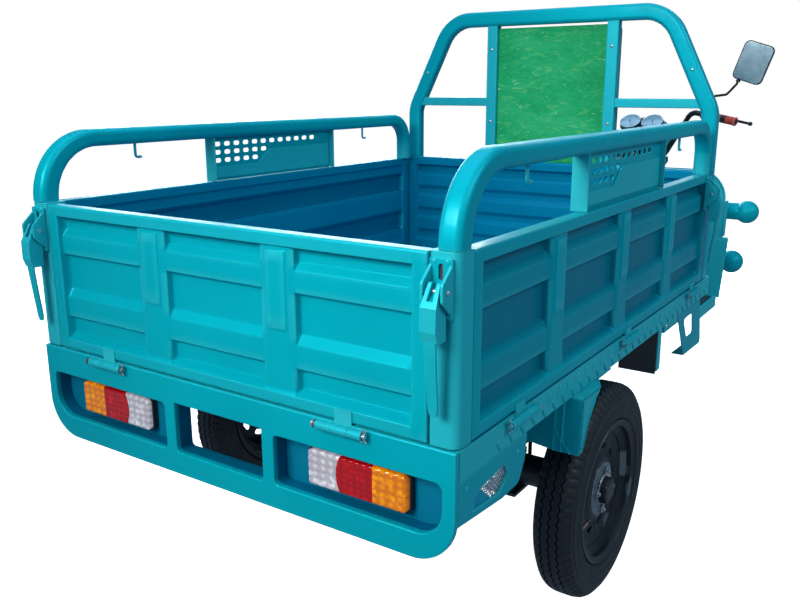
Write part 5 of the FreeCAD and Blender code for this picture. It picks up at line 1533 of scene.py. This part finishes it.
# ---------------------------------------------------------------- seat and backrest
def cushion(name, node, body, lo, hi, cap, pinned, press, fill):
    """Padded piece: the CAD solid between lo and hi is re-meshed and blown up a little as cloth; the code after each
    call draws in its seams and channels.
    """
    src = Shape()
    box(src, lo[0], hi[0], lo[1], hi[1], lo[2], hi[2])
    tmp = temp(src.map(lambda q: row(q)))
    m = tmp.modifiers.new("round", "BEVEL")
    m.width, m.segments, m.limit_method = 0.014, 3, "NONE"
    m = tmp.modifiers.new("grid", "REMESH")
    m.mode, m.voxel_size = "VOXEL", 0.006
    dg = bpy.context.evaluated_depsgraph_get()
    me = bpy.data.meshes.new_from_object(tmp.evaluated_get(dg))
    bpy.data.objects.remove(tmp)
    ob = bpy.data.objects.new(name, me)
    scene.collection.objects.link(ob)
    base = np.array([tuple(q.co) for q in me.vertices])
    now = base.copy()
    vg = ob.vertex_groups.new(name="held")
    held = [i for i, q in enumerate(base) if pinned(q)]
    vg.add(held, 1.0, "REPLACE")
    c = ob.modifiers.new("cloth", "CLOTH")
    st = c.settings
    st.quality, st.mass = 5, 0.3
    st.use_pressure, st.uniform_pressure_force = True, press
    st.tension_stiffness = st.compression_stiffness = 12
    st.bending_stiffness = 0.6
    st.vertex_group_mass = "held"
    st.effector_weights.gravity = 0
    c.collision_settings.use_collision = False
    c.point_cache.frame_start, c.point_cache.frame_end = 1, 20
    for f_ in range(1, 21):
        scene.frame_set(f_)
    dg = bpy.context.evaluated_depsgraph_get()
    ev = ob.evaluated_get(dg)
    now = np.array([tuple(q.co) for q in ev.data.vertices])
    ob.modifiers.remove(c)
    scene.frame_set(1)
    ob.vertex_groups.clear()
    dis = now - base
    ln = np.linalg.norm(dis, axis=1)
    dis *= np.minimum(1.0, cap / np.maximum(ln, 1e-9))[:, None]
    return ob, base, base + dis


def finish_cushion(ob, pts, body, node, seam, seam_r):
    ob.data.vertices.foreach_set("co", pts.ravel())
    ob.data.materials.clear()
    ob.data.materials.append(VINYL)
    ob.data.polygons.foreach_set("use_smooth", [True] * len(ob.data.polygons))
    ob.data.update()
    m = ob.modifiers.new("smooth", "SMOOTH")
    m.factor, m.iterations = 0.5, 2
    m = ob.modifiers.new("sub", "SUBSURF")
    m.levels = m.render_levels = 1
    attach(ob, body)
    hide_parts(node)
    s = Shape()
    for line in seam:
        tube(s, line + [line[0], line[1]], seam_r, 8, caps=False)
    return s


X0, X1, Y1 = 1645.0, 1988.0, 412.0
ob, base, pts = cushion("seat_cushion_pad", "seat_cushion", "seat", (X0, -Y1, 690.5), (X1, Y1, 772), 0.007, lambda q: q[2] < 0.700, 4.0, 0.7)
xx, yy, zz = base[:, 0] * 1000 + XM, base[:, 1] * 1000, base[:, 2] * 1000
top_ = np.clip((zz - 735) / 25.0, 0, 1)
ins_ = np.clip(np.minimum(np.minimum(xx - X0, X1 - xx), np.minimum(Y1 - yy, Y1 + yy)) / 55.0, 0, 1)
crown_ = 5.0 * ins_ ** 0.7 * top_
chan = np.zeros_like(xx)
for q in (-275, -165, -55, 55, 165, 275):
    chan = np.maximum(chan, np.exp(-((yy - q) / 6.0) ** 2))
for q in (X0 + 62, X1 - 62):
    chan = np.maximum(chan, np.exp(-((xx - q) / 6.0) ** 2) * (np.abs(yy) < 345))
chan *= np.clip((np.minimum(xx - X0, X1 - xx) - 52) / 10.0, 0, 1) * (np.abs(yy) < 349)
pts[:, 2] += (crown_ - 7.5 * chan * top_ - 5.0 * top_ * ins_) * 0.001
side_ = np.clip((zz - 694) / 8.0, 0, 1) * np.clip((772 - zz) / 8.0, 0, 1)
mid_ = np.exp(-((zz - 731) / 4.0) ** 2) * (1 - ins_ > 0.93)
pts[:, 0] += np.sign(1816 - xx) * mid_ * 2.0 * 0.001 * (np.minimum(xx - X0, X1 - xx) < 3)
pts[:, 1] += -np.sign(yy) * mid_ * 2.0 * 0.001 * (np.minimum(Y1 - yy, Y1 + yy) < 3)
loop_ = [(q[0], q[1], 751.0) for q in rrect(X0 - 0.5, X1 + 0.5, -Y1 - 0.5, Y1 + 0.5, 15, 6)]
sm = finish_cushion(ob, pts, "seat", "seat_cushion", [loop_], 3.0)
piece("seat_cushion_piping", sm, "seat", ("seat_cushion",), (VINYL,), sharp=60)
hb = Shape()
prism(hb, rounded([(1986, 690), (1996, 690), (1996, 672), (1990, 672), (1990, 688), (1986, 688)], 0.0, 2), "y", -300, 300)
box(hb, 1660, 1975, -395, 395, 688.6, 692)
piece("seat_base_hinge", hb, "seat", ("seat_cushion",), (BLACK,), bevel=0.8)

ob, base, pts = cushion("backrest_pad", "backrest_cushion", "chassis", (1567, -214, 908), (1611, 214, 1382), 0.006, lambda q: q[0] < (1573 - XM) * 0.001, 4.0, 0.7)
xx, yy, zz = base[:, 0] * 1000 + XM, base[:, 1] * 1000, base[:, 2] * 1000
frt = np.clip((xx - 1592) / 12.0, 0, 1)
ins_ = np.clip(np.minimum(np.minimum(yy + 214, 214 - yy), np.minimum(zz - 908, 1382 - zz)) / 50.0, 0, 1)
chan = np.zeros_like(xx)
for q in (1000, 1080, 1160, 1240, 1320):
    chan = np.maximum(chan, np.exp(-((zz - q) / 6.0) ** 2) * (np.abs(yy) < 168))
for q in (-168, 168):
    chan = np.maximum(chan, np.exp(-((yy - q) / 6.0) ** 2) * ((zz > 955) & (zz < 1335)))
pts[:, 0] += (1.5 * ins_ * frt - 6.0 * chan * frt) * 0.001
loop_ = [(1599.0, q[0], q[1]) for q in rrect(-214.5, 214.5, 907.5, 1382.5, 15, 6)]
sm = finish_cushion(ob, pts, "chassis", "backrest_cushion", [loop_], 2.8)
piece("backrest_piping", sm, "chassis", ("backrest_cushion",), (VINYL,), sharp=60)

# ---------------------------------------------------------------- driver's place: seat box, foot deck, leg shield, headlight glass
sx = Shape()
for b_ in ((1640, 1990, -410, -407, 393, 688), (1640, 1990, 407, 410, 393, 688), (1640, 1643, -407, 407, 393, 688), (1987, 1990, -407, 407, 393, 688), (1643, 1987, -407, 407, 393, 397)):
    box(sx, *b_)
for y_ in (-412.4, 409.6):
    prism(sx, rrect(1676, 1954, 432, 648, 24, 6), "y", y_, y_ + 2.8)
for y_ in (-372, 16):
    prism(sx, rrect(y_, y_ + 356, 432, 648, 24, 6), "x", 1989.6, 1992.2)
piece("seat_box_walls", sx, "chassis", ("seat_box",), (TEAL,), bevel=1.1, seg=3)
sv = Shape()
for y_ in (-392, 0, 392):
    for z_ in (414, 668):
        spin(sv, [(0, 3.4), (3.6, 3.1), (5.6, 1.7), (6.2, -0.4)], (1990, y_, z_), (1, 0, 0), 18)
for sy in (-1, 1):
    for x_ in (1658, 1972):
        for z_ in (414, 668):
            spin(sv, [(0, 3.4), (3.6, 3.1), (5.6, 1.7), (6.2, -0.4)], (x_, sy * 410, z_), (0, sy, 0), 18)
piece("seat_box_screws", sv, "chassis", ("seat_box",), (STEEL,), sharp=40)

fd = Shape()
box(fd, 1992.3, 2250, -430, 430, 393, 397)
prism(fd, [(2250, 393), (2250, 397), (2322, 622), (2326, 620), (2252.5, 393)], "y", -440, 440)
for sy in (-1, 1):
    a, b = sorted((sy * 426.8, sy * 430))
    box(fd, 1992.3, 2250, a, b, 360, 395)
    tube(fd, [(1993, sy * 428.4, 361), (2249, sy * 428.4, 361)], 3.2, 12)
for a in (-252, -214):
    prism(fd, rounded([(2100, 396), (2140, 396), (2132, 436), (2108, 436)], [0, 0, 8, 8], 5), "y", a, a + 6)
piece("foot_deck_sheet", fd, "chassis", ("foot_deck",), (TEAL,), bevel=0.8)
mt_ = Shape()
for a, b in ((-418, -264), (-196, 418)):
    prism(mt_, rrect(2004, 2240, a, b, 14, 5), "z", 396.6, 399.2)
    k = 0
    y_ = a + 14
    while y_ < b - 12:
        prism(mt_, [(2014, y_ - 4), (2230, y_ - 4), (2230, y_ + 4), (2014, y_ + 4)], "z", 399, 400.8)
        y_ += 16.4
piece("foot_deck_mat", mt_, "chassis", ("foot_deck",), (PLASTIC,), bevel=0.6)

lo = rounded([(-400, 560), (-415, 640), (-405, 877), (405, 877), (415, 640), (400, 560)], [40, 60, 110, 110, 60, 40], 9)
lg = Shape()
prism(lg, lo, "x", 2330, 2334)
tube(lg, [(2332, q[0], q[1]) for q in lo] + [(2332, lo[0][0], lo[0][1])], 4.2, 12)
for z_, h_ in ((612, 330), (664, 352), (790, 350), (838, 300)):
    tube(lg, [(2333.2, -h_, z_), (2333.2, h_, z_)], 4.4, 12)
for sy in (-1, 1):
    a, b = sorted((sy * 411, sy * 415))
    prism(lg, rounded([(2332, 620), (2372, 620), (2378, 760), (2332, 760)], [0, 8, 8, 0], 5), "y", a, b)
box(lg, 2334, 2452, -24, 24, 575, 583)
piece("leg_shield_sheet", lg, "chassis", ("leg_shield",), (TEAL,), sharp=40)

hg = Shape()
rings = []
for i in range(15):
    r_ = 78.4 * (1 - i / 15.0)
    ring_ = []
    for k in range(96):
        q = 2 * math.pi * k / 96
        y_, z_ = r_ * math.cos(q), r_ * math.sin(q)
        ring_.append((2662 + 11.0 * (1 - (r_ / 78.4) ** 2) + 0.9 * math.cos(2 * math.pi * y_ / 12.5) * (1.0 if abs(z_) < 52 else 0.3) * min(1.0, i / 2.0), y_, 985 + z_))
    rings.append(ring_)
rings.insert(0, [(2652.4, q[1], q[2]) for q in rings[0]])
skin(hg, rings)
piece("headlight_glass", hg, "steering", ("headlight_lens",), (GLASS,), sharp=50, wn=False)
hb = Shape()
spin(hb, [(76.5, 4), (78.0, -3), (85.4, -3), (86.2, 2), (84.4, 7), (80, 9), (76.8, 7.6)], (2664, 0, 985), (1, 0, 0), 72, closed=True)
piece("headlight_ring", hb, "steering", ("headlight_lens",), (CHROME,), sharp=40)

# ---------------------------------------------------------------- leaf springs, as a rear and a front half, each with its eye
LR = (400.0 ** 2 + 87.0 ** 2) / (2 * 87.0)
LZ = 333.0 + LR


def spring_half(sg):
    s = Shape()
    for sy in (-1, 1):
        y0, y1, c = sy * 310 - 25.0, sy * 310 + 25.0, 1.2
        for h, ro in ((382.0, LR), (300.0, LR + 8.2), (215.0, LR + 16.4), (130.0, LR + 24.6)):
            ri = ro - 8.0
            rings = []
            n = max(8, int(h / 14))
            for k in range(n + 1):
                q = sg * math.asin(h / ro) * k / n
                w = 5.0 * max(0.0, (k - n + 1.0)) if h < 380 else 0.0
                sec = ((ri, y0 + c + w), (ri + c, y0 + w), (ro - c, y0 + w), (ro, y0 + c + w), (ro, y1 - c - w), (ro - c, y1 - w), (ri + c, y1 - w), (ri, y1 - c - w))
                rings.append([(704 + r_ * math.sin(q), y_, LZ - r_ * math.cos(q)) for r_, y_ in sec])
            skin(s, rings)
        ez = LZ - math.sqrt((LR - 4) ** 2 - 382.0 ** 2) + 8
        spin(s, [(8.1, 0), (16, 0), (17, 1), (17, 49), (16, 50), (8.1, 50)], (704 + sg * 382, y0, ez), (0, 1, 0), 32, closed=True)
    return s


for sg, nm in ((-1, "rear"), (1, "front")):
    piece("leaf_springs_%s_half" % nm, spring_half(sg), ("chassis", "rear_axle", row((704 + sg * 362, 0, 400)), row((704 + sg * 64, 0, 400))), ("leaf_springs",), (BLACK,), sharp=35, wn=False)

# ---------------------------------------------------------------- parts carried over from the CAD model
for n_, m_ in (("chassis_frame", BLACK), ("axle_housing", BLACK), ("axle_u_bolts", BLACK), ("brake_backplates", BLACK),
               ("drive_motor", ALLOY), ("steering_bearings", STEEL), ("steering_stem", BLACK), ("fork_tubes", CHROME), ("fork_sliders", ALLOY),
               ("front_axle", STEEL), ("front_mudguard", TEAL), ("battery_pack", CASE),
               ("wiring_harness", CABLE), ("brake_pedal", BLACK), ("mirror_stalks", BLACK), ("control_pods", PLASTIC), ("headlight_shell", TEAL),
               ("handlebar", BLACK), ("crash_bar", TEAL),
               ("brake_lever_right", BLACK), ("brake_lever_left", BLACK)):
    keep(n_, m_)
